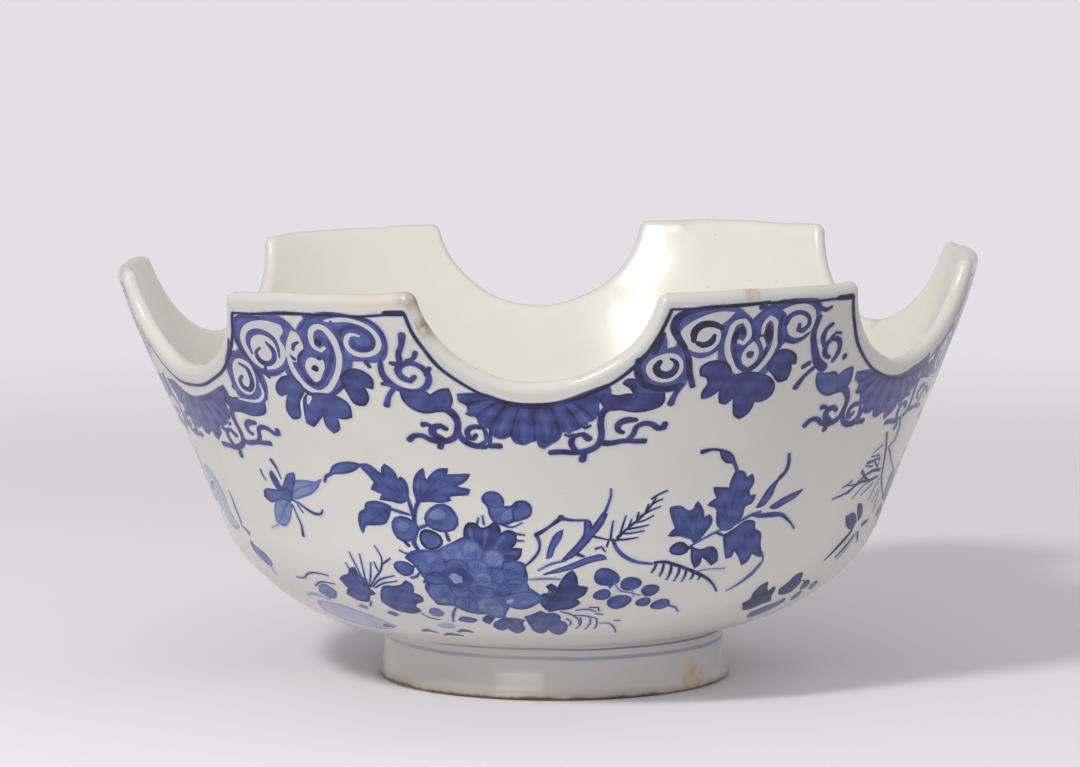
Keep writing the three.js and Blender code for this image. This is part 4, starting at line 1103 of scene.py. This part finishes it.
def reeds(p):
    """The pierced rock's outline, its reeds and the fronds to the right of the big flower."""
    p.stroke([(-10.4, 74), (-7, 76.8), (-4.6, 80.4), (-4.4, 83.4), (-5.8, 86.8)], [0.7, 1.0, 0.9, 1.6], DEEP)
    p.stroke([(-5.8, 86.8), (-2, 89.6), (3, 93.6)], [1.8, 1.0, 1.9], LINE)
    p.dot(3, 93.8, 1.2, 1.1, 1.0)
    p.stroke([(3, 93.6), (6, 92.9), (12.8, 93)], [1.6, 0.9, 0.9], DEEP)
    p.area([(12, 93.2), (13.6, 92.6), (14.2, 89), (16.4, 92.8), (18.4, 96), (19.6, 95.4), (18.6, 92.6), (15.4, 87.4),
            (12, 82.6), (8, 78.4), (3.4, 76.2), (5.6, 78.8), (9, 82.6), (11.6, 86.6)], MID, edge=DEEP, edge_width=0.9)
    p.stroke([(18.4, 94.6), (19.8, 99), (20.6, 103), (20.4, 106)], [1.2, 0.9, 0.6], DEEP)
    p.area([(4, 88.8), (1.8, 87.6), (-0.6, 82.6), (-2, 77), (-0.8, 77.4), (1, 81.4), (3.4, 85.6)], MID, edge=DEEP,
           edge_width=0.6)
    p.area([(-3.6, 70.4), (2, 71.4), (8, 73.2), (14, 75.4), (20.6, 76.8), (19.8, 78), (14, 77.6), (8, 75.4),
            (2, 72.8)],
           MID, edge=DEEP, edge_width=0.6)
    p.stroke([(-5.4, 72.2), (0, 75), (5, 76.4)], [0.6, 0.9, 0.6], MID)
    p.stroke([(9.4, 78.8), (12, 77.8)], [1.4, 0.7], LINE)
    p.stroke([(-9, 68.4), (-3, 68.6), (3.6, 68.2)], [0.9, 1.0, 0.7], WASH)
    for line in (
        [(20.4, 82), (21, 85), (24, 84.4), (26.4, 87.6)], [(14.8, 86.4), (18, 85.6), (21, 84.8)],
        [(21.6, 85), (21.6, 89), (22, 92.6)], [(25, 86.6), (25.6, 90.6), (26.4, 94.6)],
        [(16, 81), (18.4, 82), (20, 79.8)], [(24, 84.6), (28, 84.6), (32, 85.2)], [(25, 87.2), (29, 87), (34, 88)],
        [(28, 88.8), (32, 89.6), (35.4, 90.4)], [(29.4, 91.4), (33, 92.2), (36.6, 94.2)],
        [(31.4, 94), (34.6, 96), (38.6, 97.6)], [(34, 97.4), (36, 99.2), (39, 100.6)],
        [(35, 101), (38, 102.8), (40.4, 104)], [(28, 90), (28.6, 93)], [(30.6, 93), (30.8, 96)],
        [(33.4, 96), (34, 99)],
    ):
        p.stroke(line, [0.8, 0.7, 0.45], LINE)
    p.stroke([(24, 85.6), (29, 90.6), (33.6, 95.8), (36.4, 101)], [1.0, 0.9, 0.6], LINE)
    p.stroke([(22.6, 84.6), (24.4, 81), (27.6, 77.4), (31.6, 75.2), (39, 74)], [1.4, 1.5, 1.3, 0.8], 0.76)
    p.stroke([(39.6, 74.6), (44, 75), (48, 73.6), (53, 71.4), (58, 69), (62.6, 66.4), (66.6, 63), (70.8, 58.4)],
             [1.0, 1.3, 1.2, 1.4, 1.0, 0.7], LINE)
    for x, y, x2, y2 in (
        (40.4, 74.8, 38.8, 70), (43.4, 75, 42.2, 68.4), (46.6, 74, 45.4, 66.8), (50, 72.8, 48.8, 66),
        (53, 71.4, 52.4, 65.4), (56.4, 69.8, 56, 66), (59.6, 68.4, 59.4, 65.6),
    ):
        p.stroke([(x, y), (0.5 * (x + x2) + 0.5, 0.5 * (y + y2)), (x2, y2)], [1.1, 1.0, 0.5], LINE)
    p.stroke([(57, 69.6), (63, 70.4), (70, 70.2)], [0.6, 0.4], WASH)


def berries(p):
    """Berries at the lower right, and the root grass under them."""
    for x, y, rx, ry, tilt in (
        (20.8, 68.6, 4.9, 3.6, -20), (30.8, 65.2, 4.0, 3.0, 10), (39.4, 61.4, 3.5, 2.8, 0), (19.6, 59.9, 3.2, 2.5, 0),
        (27, 55.2, 4.7, 3.7, 10), (37.8, 54.8, 3.0, 2.3, 5), (46, 52.6, 4.0, 2.9, 5),
    ):
        p.dot(x, y, rx, ry, 0.72, tilt, DEEP, 1.1)
    p.area([(20.8, 66), (22.4, 62.8), (24.2, 65.4)], DEEP)
    p.stroke([(49.8, 51.4), (53.4, 50), (57, 46.2)], [1.2, 0.9, 0.6], DEEP)
    p.stroke([(24, 66), (27, 61.6), (31.4, 60.4), (35.4, 58.8)], [0.7, 0.9, 0.6], WASH)
    p.stroke([(31.6, 62.4), (32.6, 58)], [0.7, 0.5], WASH)
    for line in (
        [(3, 50.8), (8, 48.6), (11, 45), (12, 41)], [(9, 48), (14, 47), (19.6, 44.6)], [(6, 46), (8, 43), (7.4, 40)],
        [(12, 46), (12.6, 41), (11, 37)], [(16.4, 45), (17, 41), (15.6, 36)], [(19, 44.6), (20.4, 40.6), (20, 36)],
        [(9.6, 51.2), (15, 51.4), (18, 49.8)], [(15, 52.8), (18.6, 52.4), (19.4, 50)], [(18, 48.4), (21.6, 47.6)],
        [(21.6, 41), (25, 41), (29, 37), (31.6, 32)], [(27.6, 43), (30.4, 42.4)],
    ):
        p.stroke(line, [0.6, 0.8, 0.45], 0.80)


def right_spray(p):
    """The leafy spray at the right, hanging from a curved twig."""
    p.stroke([(51.6, 119), (55, 120), (59, 119.4)], [1.8, 1.0, 1.0], LINE)
    p.area([(58, 119.4), (60.4, 119), (63.4, 116.8), (65, 114), (62, 114.2), (59.6, 116)], DEEP, edge=LINE,
           edge_width=0.7)
    p.stroke([(64.6, 114), (65.8, 112), (66.8, 109.6)], [1.4, 1.2], DEEP)
    leaf(p, [(66.4, 110.2), (69.4, 109), (70.6, 106), (72.8, 107.8), (74, 104.6), (72.8, 100.8), (74, 98.8),
             (76.2, 99), (75, 96.4), (72.6, 95.6), (71.6, 91.2), (69.4, 88), (66, 86.2), (62.8, 88.2), (61.4, 92.6),
             (60.8, 96), (56.8, 97.2), (60.2, 99.6), (58.4, 103.8), (64.6, 103.2), (65.2, 106.6)],
         (67, 89), [(67.4, 108.6), (73, 106.4), (59.8, 103), (58, 97.4), (75, 98)])
    leaf(p, [(42.6, 96.6), (46, 97), (49.8, 95), (51.4, 95.8), (52.4, 98.6), (54.4, 95.4), (55.6, 91.8), (57.8, 92.8),
             (59.2, 90.4), (57.4, 86.4), (54.4, 82.2), (52.2, 84.6), (48, 85.6), (43.4, 85.6), (45.8, 88.4),
             (44.2, 92)],
         (54, 83.6), [(44, 95.8), (52.4, 97.2), (58, 91.6), (44.6, 86.4)])
    leaf(p, [(65.8, 83.6), (70.2, 86), (74.6, 88.8), (78, 88), (79, 85.4), (82.6, 83), (83.2, 79.4), (85.8, 74),
             (80.6, 76), (79.2, 72.6), (77.4, 71.2), (75.4, 74.4), (72, 78.2), (71.2, 75), (69.4, 74.8), (67.6, 79)],
         (75, 87.4), [(67, 83), (70.4, 76), (77.6, 72.6), (85, 74.8), (82, 83)])
    p.dot(48.6, 80, 3.5, 2.3, DEEP, -8, LINE, 0.9)
    p.stroke([(51.6, 80), (53.4, 80.4)], 1.4, LINE)
    p.area([(53.4, 80.2), (57, 79), (61.4, 79.8), (64.6, 77), (65.6, 73.8), (63.6, 72.2), (60, 75.2), (58.2, 76.2),
            (57.8, 72.6), (56.6, 71.4), (54.8, 74)], DEEP, edge=LINE, edge_width=0.7)
    p.stroke([(52.6, 80.6), (57, 83.4), (62, 85.6), (68, 87.4), (76, 91.2), (80, 92)], [0.8, 1.0, 1.1, 1.4], MID)
    p.stroke([(62, 85.6), (66, 83.6)], [1.0, 0.8], DEEP)
    p.area([(77.8, 94), (79.6, 97.4), (82.6, 102.6), (86, 106.2), (84.6, 103), (83.4, 98.4), (80, 94.4)], MID,
           edge=DEEP,
           edge_width=0.8)
    p.stroke([(85.6, 105.8), (87.6, 108.4), (87.8, 111.6), (86.4, 115.4)], [1.6, 1.7, 1.6, 1.3], DEEP)
    p.area([(84, 93.6), (88, 96.4), (92.6, 98.2), (98.6, 99.8), (95.6, 97), (91, 95), (86.6, 93.2)], MID, edge=DEEP,
           edge_width=0.8)
    p.stroke([(76, 91.4), (80, 90.6), (86, 90.6), (90.6, 90.4), (95, 87.6), (99.8, 83.4)],
             [1.0, 1.8, 2.2, 1.6, 0.8, 0.5], DEEP)
    p.stroke([(85.6, 75.6), (87.6, 72), (86.8, 69)], [0.7, 0.8], DEEP)
    p.stroke([(87, 70.6), (84.4, 66.4), (80.4, 61.8), (75.6, 58)], [1.6, 2.2, 1.6, 0.7], MID)


def side_spray(p):
    """Leaves low down on the side, the blossom with narrow petals above them, and its fern."""
    leaf(p, [(92.6, 54.6), (94, 58.4), (96.6, 59.6), (98.6, 55.8), (101.4, 53), (102.6, 56), (104.4, 54.6),
             (106.4, 49.6), (110.4, 46), (106, 45.4), (102, 43), (97.4, 42), (91, 47.6), (93.4, 50)],
         (99, 44.6), [(96.4, 58), (103.6, 54.4), (108.6, 46.4), (92.4, 48.6)], 0.86)
    leaf(p, [(108.6, 54), (111.4, 57.6), (113.4, 61.4), (116.4, 61.8), (119, 58.4), (121.8, 54.4), (120.8, 50.4),
             (116.4, 50), (111.8, 51)],
         (116, 51.4), [(114.8, 60.8), (120.6, 54.4), (110.6, 54)], 0.84)
    leaf(p, [(105, 38.6), (111, 41.4), (116, 42.6), (121.6, 45.6), (125.6, 41.8), (122, 37), (115, 33),
             (109.6, 33.6)],
         (122, 43), [(107, 38), (113, 34.4)], MID)
    for x, y, rx, ry in ((128.6, 53, 4.2, 2.2), (132.6, 45, 4.2, 2.4), (139, 51.2, 3.8, 1.8)):
        p.dot(x, y, rx, ry, DEEP, -35, LINE, 0.9)
    p.stroke([(117, 56), (123, 56.6), (130, 49), (136, 43)], [0.6, 0.9, 0.6], MID)
    p.area([(132, 85), (137.4, 85.6), (143.4, 81.6), (142.4, 78.4), (138, 79.4), (134, 82)], DEEP, edge=LINE)
    p.area([(139, 89), (142.4, 88.4), (147, 83.6), (145.6, 81.4), (141.6, 85)], DEEP, edge=LINE)
    p.stroke([(142, 78), (135.4, 73), (128.6, 67)], [1.4, 2.3, 1.9, 0.9], 1.0)
    p.stroke([(146, 75.6), (141.8, 71.2), (137.6, 67)], [1.1, 1.8, 1.1], 1.0)
    p.stroke([(148.4, 76), (145, 71.4), (140.4, 66)], [1.6, 2.6, 1.4], PALE)
    p.stroke([(152, 79.4), (158, 80.4)], [1.8, 1.2], LINE)
    p.stroke([(150, 76), (154, 72)], [1.6, 1.0], DEEP)
    # Fern: a stem with fine fronds and hairs down to the left
    p.stroke([(140.4, 118), (146.6, 110.4), (150.6, 104), (156, 96.6), (166, 90), (176, 85)],
             [0.8, 1.2, 1.1, 0.8, 0.5], LINE)
    p.stroke([(147, 123), (150.6, 119.4), (152.4, 113.6), (148.4, 110.6)], [0.9, 1.3, 0.9], DEEP)
    for line in (
        [(149.6, 101.6), (141, 102.2), (134.4, 100), (128.6, 96.8), (122, 94.6), (117.4, 93.6)],
        [(141, 98.6), (133.4, 98.4), (126.4, 95)], [(133, 103.4), (141, 98.6), (148, 99.4)],
        [(135, 106.6), (144.6, 107.2), (145.6, 102)],
    ):
        p.stroke(line, [1.3, 1.2, 0.8, 0.5], LINE)
    for line in (
        [(153, 98), (150.4, 94), (148.4, 89.4)], [(150, 99), (137.6, 96.4), (132, 92.4)], [(147, 97), (139, 92.6)],
        [(145, 103.6), (139, 107.4)], [(142, 113), (137, 110.6)], [(143, 108.6), (136.4, 109)],
        [(128, 100.4), (122, 98)], [(156, 93), (154, 88)], [(164, 87), (161, 83.4)], [(158, 92), (159.6, 85.6)],
        [(131, 98.4), (125.4, 98.6)], [(149.6, 110), (160, 104), (169.6, 99), (180, 91)],
        [(140.6, 104.4), (134.6, 105.4)],
    ):
        p.stroke(line, [0.7, 0.5], 0.84)


def far_leaves(p):
    """Two leaves seen edge on at the left side."""
    p.area([(-167, 103.4), (-162, 102.6), (-158, 99), (-157, 92), (-158.6, 87), (-154.6, 79), (-160, 78), (-167, 79),
            (-173, 84), (-174, 93), (-171.6, 99)], 0.28, edge=0.40, edge_width=1.4)
    p.stroke([(-160.6, 102), (-158.4, 99), (-158, 94)], [1.0, 1.5, 0.8], WASH)
    p.stroke([(-148, 95), (-148, 91.4), (-149, 87.4), (-149.4, 83.4), (-150.6, 80)], [0.9, 1.7, 2.0, 1.2], 0.60)
    p.stroke([(-150, 80), (-147.4, 79), (-145.4, 77.6)], [1.2, 1.6, 2.0], 0.60)
    p.area([(-147, 74.4), (-143, 72), (-139, 70.4), (-136.2, 67.8), (-136.4, 65.6), (-141, 64), (-145, 66.4),
            (-148.4, 70.6)],
           0.56, edge=0.66, edge_width=1.0)
    p.stroke([(-138.4, 66), (-141.4, 59.6)], [1.6, 1.2], WASH)


FRONT = (insect, low_leaves, foot_leaves, branch, buds, peony, reeds, berries, right_spray)

# The sprays in the order they are painted: how far across and up, mirrored or not, and what is painted there.
# The first row is the side that the photograph shows. The back repeats it, mirrored.
SPRAYS = (
    (0, 0, False, (*FRONT, side_spray, far_leaves)),
    (124, 2, False, (right_spray,)),
    (330, 0, False, (low_leaves,)),
    (402, 0, True, FRONT),
    (702, 0, True, (side_spray,)),
    (553, -3, False, (right_spray,)),
)
# Where each painted piece of the sprays begins, across the sheet, in the bare places between its shapes
SPRAY_STARTS = (-math.inf, -79, 1, 38, 88, 162, 232, 330, 402, 478, 534, 600)


def sprays(material):
    p = Painting()
    for across, up, mirror, parts in SPRAYS:
        p.move(across, up, mirror)
        for part in parts:
            part(p)
    names = [f"painted_spray_{number + 1}" for number in range(len(SPRAY_STARTS))]
    p.build(names, material, SPRAY_STARTS)


# Materials

def linear(red, green, blue):
    """A colour from its screen values, 0 to 255."""
    def one(value):
        value /= 255
        return value / 12.92 if value <= 0.04045 else ((value + 0.055) / 1.055) ** 2.4
    return (one(red), one(green), one(blue), 1.0)


class Nodes:
    """A material's node tree, with short ways to add to it."""

    def __init__(self, name):
        self.material = bpy.data.materials.new(name)
        self.material.use_nodes = True
        self.tree = self.material.node_tree
        self.shader = self.tree.nodes["Principled BSDF"]
        self.place = self.add("ShaderNodeTexCoord").outputs["Object"]

    def add(self, kind, **settings):
        node = self.tree.nodes.new(kind)
        for key, value in settings.items():
            setattr(node, key, value)
        return node

    def link(self, source, target):
        self.tree.links.new(source, target)

    def feed(self, value, socket):
        """Sets a socket to a value, or links another node's output to it."""
        if isinstance(value, (int, float, tuple)):
            socket.default_value = value
        else:
            self.link(value, socket)

    def noise(self, scale, detail=3.0, roughness=0.55, distortion=0.0):
        node = self.add("ShaderNodeTexNoise")
        node.inputs["Scale"].default_value = scale
        node.inputs["Detail"].default_value = detail
        node.inputs["Roughness"].default_value = roughness
        node.inputs["Distortion"].default_value = distortion
        self.link(self.place, node.inputs["Vector"])
        return node.outputs["Fac"]

    def ramp(self, value, stops, interpolation="LINEAR"):
        node = self.add("ShaderNodeValToRGB")
        node.color_ramp.interpolation = interpolation
        elements = node.color_ramp.elements
        while len(elements) < len(stops):
            elements.new(0.5)
        for element, (position, colour) in zip(elements, stops):
            element.position = position
            element.color = colour if isinstance(colour, tuple) else (colour, colour, colour, 1.0)
        self.link(value, node.inputs["Fac"])
        return node.outputs["Color"]

    def math(self, operation, *values, clamp=False):
        node = self.add("ShaderNodeMath", operation=operation, use_clamp=clamp)
        for value, socket in zip(values, node.inputs):
            self.feed(value, socket)
        return node.outputs["Value"]

    def mix(self, factor, first, second, blend="MIX"):
        node = self.add("ShaderNodeMix", data_type="RGBA", blend_type=blend)
        for value, socket in ((factor, 0), (first, 6), (second, 7)):
            self.feed(value, node.inputs[socket])
        return node.outputs[2]

    def near(self, place, radius):
        """1 at a place on the object and 0 beyond the radius, in millimetres."""
        node = self.add("ShaderNodeVectorMath", operation="DISTANCE")
        node.inputs[1].default_value = tuple(v * MM for v in place)
        self.link(self.place, node.inputs[0])
        spread = self.add("ShaderNodeMapRange", interpolation_type="SMOOTHSTEP")
        spread.inputs["From Min"].default_value = radius * MM
        spread.inputs["From Max"].default_value = radius * MM * 0.15
        self.link(node.outputs["Value"], spread.inputs["Value"])
        return spread.outputs["Result"]

    def bump(self, height, strength, distance):
        node = self.add("ShaderNodeBump")
        node.inputs["Strength"].default_value = strength
        node.inputs["Distance"].default_value = distance
        self.link(height, node.inputs["Height"])
        self.link(node.outputs["Normal"], self.shader.inputs["Normal"])


# Glaze colours. The inside is painted lighter than the outside although it is the same glaze: painted light inside,
# painted shade outside.
GLAZE_WARM = linear(214, 212, 202)
GLAZE_COOL = linear(211, 211, 206)
GLAZE_INSIDE_LIT = linear(229, 226, 218)
SPECK = linear(150, 128, 104)
WORN_EDGE = linear(186, 160, 124)
# The foot's glaze, painted darker than the bowl's: painted shade for the foot under the bowl
FOOT_WARM_SHADED = linear(201, 196, 189)
FOOT_COOL_SHADED = linear(194, 194, 197)
CLAY = linear(150, 124, 92)
CLAY_DARK = linear(84, 68, 52)

# Blue lines round the foot: height of the middle and half width in millimetres, strength, colour
FOOT_LINES = (
    (19.0, 0.45, 0.80, linear(84, 94, 120)),
    (15.6, 0.80, 0.62, linear(104, 114, 152)),
)
# A patch of bare clay at the foot and a stained one above it: place, reach, colour
FOOT_CHIP = ((53, -40, 3.5), 10, linear(172, 130, 88))
FOOT_STAIN = ((50, -43, 10), 12, linear(208, 184, 160))

# Worn places of the rim: where, how far they reach in millimetres, how strong, and their colour
WEAR = (
    ((70, -146, 160), 4.5, 0.9, linear(160, 122, 86)),
    ((-50, -153, 158), 8.5, 1.0, linear(128, 104, 80)),
    ((-46.5, -151.5, 149), 9.5, 1.0, linear(128, 104, 80)),
    ((-64, -147, 160), 20, 0.35, linear(206, 184, 144)),
    ((161, -15, 156), 8, 0.7, linear(146, 118, 90)),
)


def glaze_surface(nodes):
    """Gloss and the soft unevenness that the bare and the painted glaze share."""
    uneven = nodes.noise(16, 2.0)
    fine = nodes.noise(120, 2.0)
    height = nodes.math("ADD", uneven, nodes.math("MULTIPLY", fine, 0.10))
    nodes.bump(height, 0.5, 1.6 * MM)
    gloss = nodes.ramp(nodes.noise(45, 3.0), [(0.3, 0.13), (0.7, 0.24)])
    nodes.link(gloss, nodes.shader.inputs["Roughness"])
    nodes.shader.inputs["IOR"].default_value = 1.5


def painted_shade_toward_rim(nodes, colour):
    """Painted shade on the outside: the colour is made darker toward the rim and left as it is low down."""
    split = nodes.add("ShaderNodeSeparateXYZ")
    nodes.link(nodes.place, split.inputs[0])
    share = nodes.math("DIVIDE", split.outputs["Z"], BOWL_HEIGHT * MM)
    shade = nodes.ramp(share, [(0.18, 1.0), (0.40, 0.955), (0.65, 0.89), (0.92, 0.80)])
    return nodes.mix(1.0, colour, shade, "MULTIPLY")


def bowl_material():
    nodes = Nodes("tin_glaze")
    tint = nodes.ramp(nodes.noise(9, 3.0, distortion=0.6), [(0.3, GLAZE_WARM), (0.7, GLAZE_COOL)])
    # Painted shade on the outside, darker toward the rim
    tint = painted_shade_toward_rim(nodes, tint)
    inside = nodes.add("ShaderNodeAttribute", attribute_name="inside").outputs["Fac"]
    # Painted light: the inside's glaze is lighter than the outside's, and the two blend across the lip
    tint = nodes.mix(inside, tint, GLAZE_INSIDE_LIT)
    cloud = nodes.ramp(nodes.noise(34, 4.0), [(0.25, 0.955), (0.75, 1.0)])
    colour = nodes.mix(1.0, tint, cloud, "MULTIPLY")
    specks = nodes.ramp(nodes.noise(420, 1.0), [(0.795, 0.0), (0.83, 1.0)])
    colour = nodes.mix(nodes.math("MULTIPLY", specks, 0.35), colour, SPECK)
    edge = nodes.add("ShaderNodeAttribute", attribute_name="edge").outputs["Fac"]
    worn = nodes.ramp(nodes.noise(26, 5.0, 0.7), [(0.60, 0.0), (0.72, 1.0)])
    colour = nodes.mix(nodes.math("MULTIPLY", nodes.math("MULTIPLY", worn, edge), 0.45), colour, WORN_EDGE)
    patchy = nodes.ramp(nodes.noise(190, 4.0), [(0.38, 0.25), (0.58, 1.0)])
    for place, radius, strength, brown in WEAR:
        spot = nodes.math("MULTIPLY", nodes.math("MULTIPLY", nodes.near(place, radius), patchy), strength)
        colour = nodes.mix(nodes.math("MULTIPLY", spot, edge), colour, brown)
    glaze_surface(nodes)
    nodes.link(colour, nodes.shader.inputs["Base Color"])
    return nodes.material


def foot_material():
    """The foot's glaze, with two blue lines round its top and bare, worn clay at its standing edge."""
    nodes = Nodes("tin_glaze_foot")
    # Painted shade: the foot's glaze is darker than the bowl's
    colour = nodes.ramp(nodes.noise(20, 4.0, distortion=0.4), [(0.3, FOOT_WARM_SHADED), (0.7, FOOT_COOL_SHADED)])
    split = nodes.add("ShaderNodeSeparateXYZ")
    nodes.link(nodes.place, split.inputs[0])
    unsteady = nodes.math("MULTIPLY", nodes.math("SUBTRACT", nodes.noise(22, 2.0), 0.5), 1.6 * MM)
    height = nodes.math("MULTIPLY", nodes.math("ADD", split.outputs["Z"], unsteady), 1 / MM)
    for middle, half, strength, blue in FOOT_LINES:
        off = nodes.math("ABSOLUTE", nodes.math("SUBTRACT", height, middle))
        band = nodes.ramp(nodes.math("DIVIDE", off, 2 * half), [(0.25, 1.0), (0.62, 0.0)], "EASE")
        load = nodes.ramp(nodes.noise(17, 3.0), [(0.35, 0.55), (0.6, 1.0)])
        colour = nodes.mix(nodes.math("MULTIPLY", nodes.math("MULTIPLY", band, load), strength), colour, blue)
    ragged = nodes.math("SUBTRACT", nodes.noise(90, 5.0), 0.5)
    ragged = nodes.math("ADD", height, nodes.math("MULTIPLY", ragged, -3.2))
    bare = nodes.ramp(nodes.math("DIVIDE", ragged, 4.0), [(0.20, 1.0), (0.45, 0.50), (1.0, 0.0)])
    colour = nodes.mix(nodes.math("MULTIPLY", bare, 0.85), colour, CLAY)
    place, reach, brown = FOOT_CHIP
    patchy = nodes.ramp(nodes.noise(150, 3.0), [(0.4, 0.2), (0.6, 0.8)])
    colour = nodes.mix(nodes.math("MULTIPLY", nodes.near(place, reach), patchy), colour, brown)
    place, reach, buff = FOOT_STAIN
    colour = nodes.mix(nodes.math("MULTIPLY", nodes.near(place, reach), 0.22), colour, buff)
    dark = nodes.ramp(nodes.math("DIVIDE", ragged, 2.0), [(0.30, 1.0), (0.75, 0.0)])
    colour = nodes.mix(nodes.math("MULTIPLY", dark, 0.85), colour, CLAY_DARK)
    glaze_surface(nodes)
    nodes.link(colour, nodes.shader.inputs["Base Color"])
    return nodes.material


def paint_material(name, clear):
    """Cobalt in the glaze, from a pale wash to nearly black, uneven as it left the brush. clear makes it purer."""
    nodes = Nodes(name)
    tone = nodes.add("ShaderNodeAttribute", attribute_name="tone").outputs["Fac"]
    wash = nodes.math("SUBTRACT", nodes.noise(130, 4.0, 0.6, 0.4), 0.5)
    pool = nodes.math("SUBTRACT", nodes.noise(420, 3.0), 0.5)
    shift = nodes.math("ADD", nodes.math("MULTIPLY", wash, 0.26), nodes.math("MULTIPLY", pool, 0.16))
    uneven = nodes.math("ADD", tone, nodes.math("MULTIPLY", shift, tone), clamp=True)
    colour = nodes.ramp(uneven, [
        (0.0, GLAZE_WARM),
        (0.12, linear(192, 193, 205)),
        (0.34, linear(146 - clear, 153, 186)),
        (0.50, linear(103 - clear, 113, 162)),
        (0.58, linear(88 - clear, 99, 157)),
        (0.66, linear(72 - clear, 83, 144)),
        (0.74, linear(59 - clear, 69, 130)),
        (0.80, linear(47 - clear, 56, 116)),
        (0.93, linear(25, 29, 78)),
        (1.0, linear(13, 13, 30)),
    ])
    # The same painted shade toward the rim, on the paint
    colour = painted_shade_toward_rim(nodes, colour)
    glaze_surface(nodes)
    nodes.link(colour, nodes.shader.inputs["Base Color"])
    return nodes.material


# Stage

BACKGROUND = linear(227, 224, 229)
SKY_LEVEL = 0.57
SKY_SLANT = (0.15, 0.0, -0.08)  # brighter from the right and from low down
SKY_COLOUR = (1.0, 0.985, 0.985, 1.0)
FLOOR_COLOUR = linear(241, 238, 243)
FLOOR_REACH = 14.0  # metres
FLOOR_FADE = (0.50, 1.3)  # metres from the axis over which the floor passes into the background

# Name, place, what it faces, size, power, colour
LAMPS = (
    ("key", (-0.89, -1.42, 1.35), (0.05, 0.05, 0.0), (0.30, 0.24), 23, (1.0, 0.985, 0.965)),
    ("front_fill", (-1.3, -3.0, 0.55), (0, 0, 0.05), (1.6, 0.6), 11, (1.0, 0.99, 0.98)),
    ("overhead", (0.3, 0.1, 3.0), (0, 0, 0.08), (2.4, 2.4), 4, (1.0, 0.99, 1.0)),
)


def floor_material():
    """A matt floor that the camera sees fade into the background."""
    nodes = Nodes("floor")
    nodes.shader.inputs["Roughness"].default_value = 0.9
    nodes.shader.inputs["Specular IOR Level"].default_value = 0.0
    nodes.shader.inputs["Base Color"].default_value = FLOOR_COLOUR
    length = nodes.add("ShaderNodeVectorMath", operation="LENGTH")
    nodes.link(nodes.place, length.inputs[0])
    far = nodes.add("ShaderNodeMapRange", interpolation_type="SMOOTHSTEP")
    far.inputs["From Min"].default_value, far.inputs["From Max"].default_value = FLOOR_FADE
    nodes.link(length.outputs["Value"], far.inputs["Value"])
    path = nodes.add("ShaderNodeLightPath")
    seen = nodes.math("ADD", path.outputs["Is Camera Ray"], path.outputs["Is Glossy Ray"], clamp=True)
    seen = nodes.math("ADD", seen, path.outputs["Is Transmission Ray"], clamp=True)
    glow = nodes.add("ShaderNodeEmission")
    glow.inputs["Color"].default_value = BACKGROUND
    mix = nodes.add("ShaderNodeMixShader")
    nodes.link(nodes.math("MULTIPLY", far.outputs["Result"], seen), mix.inputs[0])
    nodes.link(nodes.shader.outputs[0], mix.inputs[1])
    nodes.link(glow.outputs[0], mix.inputs[2])
    nodes.link(mix.outputs[0], nodes.tree.nodes["Material Output"].inputs["Surface"])
    return nodes.material


def stage_floor():
    mesh = bpy.data.meshes.new("floor")
    corners = [(FLOOR_REACH * x, FLOOR_REACH * y, 0) for x, y in ((-1, -1), (1, -1), (1, 1), (-1, 1))]
    mesh.from_pydata(corners, [], [(0, 1, 2, 3)])
    mesh.materials.append(floor_material())
    floor = bpy.data.objects.new("floor", mesh)
    bpy.context.scene.collection.objects.link(floor)


def sky():
    """Soft light from all round, a little stronger on one side. The camera sees an even background instead."""
    world = bpy.data.worlds.new("studio")
    bpy.context.scene.world = world
    world.use_nodes = True
    nodes, links = world.node_tree.nodes, world.node_tree.links
    nodes.clear()
    place = nodes.new("ShaderNodeTexCoord")
    slant = nodes.new("ShaderNodeVectorMath")
    slant.operation = "DOT_PRODUCT"
    slant.inputs[1].default_value = SKY_SLANT
    links.new(place.outputs["Generated"], slant.inputs[0])
    level = nodes.new("ShaderNodeMath")
    level.inputs[1].default_value = SKY_LEVEL
    links.new(slant.outputs["Value"], level.inputs[0])
    light = nodes.new("ShaderNodeBackground")
    light.inputs["Color"].default_value = SKY_COLOUR
    links.new(level.outputs["Value"], light.inputs["Strength"])
    back = nodes.new("ShaderNodeBackground")
    back.inputs["Color"].default_value = BACKGROUND
    path = nodes.new("ShaderNodeLightPath")
    mix = nodes.new("ShaderNodeMixShader")
    links.new(path.outputs["Is Camera Ray"], mix.inputs[0])
    links.new(light.outputs[0], mix.inputs[1])
    links.new(back.outputs[0], mix.inputs[2])
    out = nodes.new("ShaderNodeOutputWorld")
    links.new(mix.outputs[0], out.inputs["Surface"])


def softbox(name, place, target, size, power, colour):
    data = bpy.data.lights.new(name, "AREA")
    data.shape = "RECTANGLE"
    data.size, data.size_y = size
    data.energy = power
    data.color = colour
    lamp = bpy.data.objects.new(name, data)
    lamp.location = place
    lamp.rotation_euler = (Vector(target) - Vector(place)).to_track_quat("-Z", "Y").to_euler()
    bpy.context.scene.collection.objects.link(lamp)


def camera():
    data = bpy.data.cameras.new("camera")
    data.lens = LENS
    data.sensor_width = 36.0
    data.clip_end = 60.0
    obj = bpy.data.objects.new("camera", data)
    obj.location = CAMERA_PLACE
    obj.rotation_euler = (math.radians(90 - CAMERA_PITCH), 0.0, 0.0)
    bpy.context.scene.collection.objects.link(obj)
    bpy.context.scene.camera = obj


camera()
stage_floor()
sky()
for lamp in LAMPS:
    softbox(*lamp)
bpy.context.scene.view_settings.view_transform = "Standard"

bowl_mesh(bowl_material())
foot_mesh(foot_material())
border(paint_material("cobalt_border", 0))
sprays(paint_material("cobalt_sprays", 5))
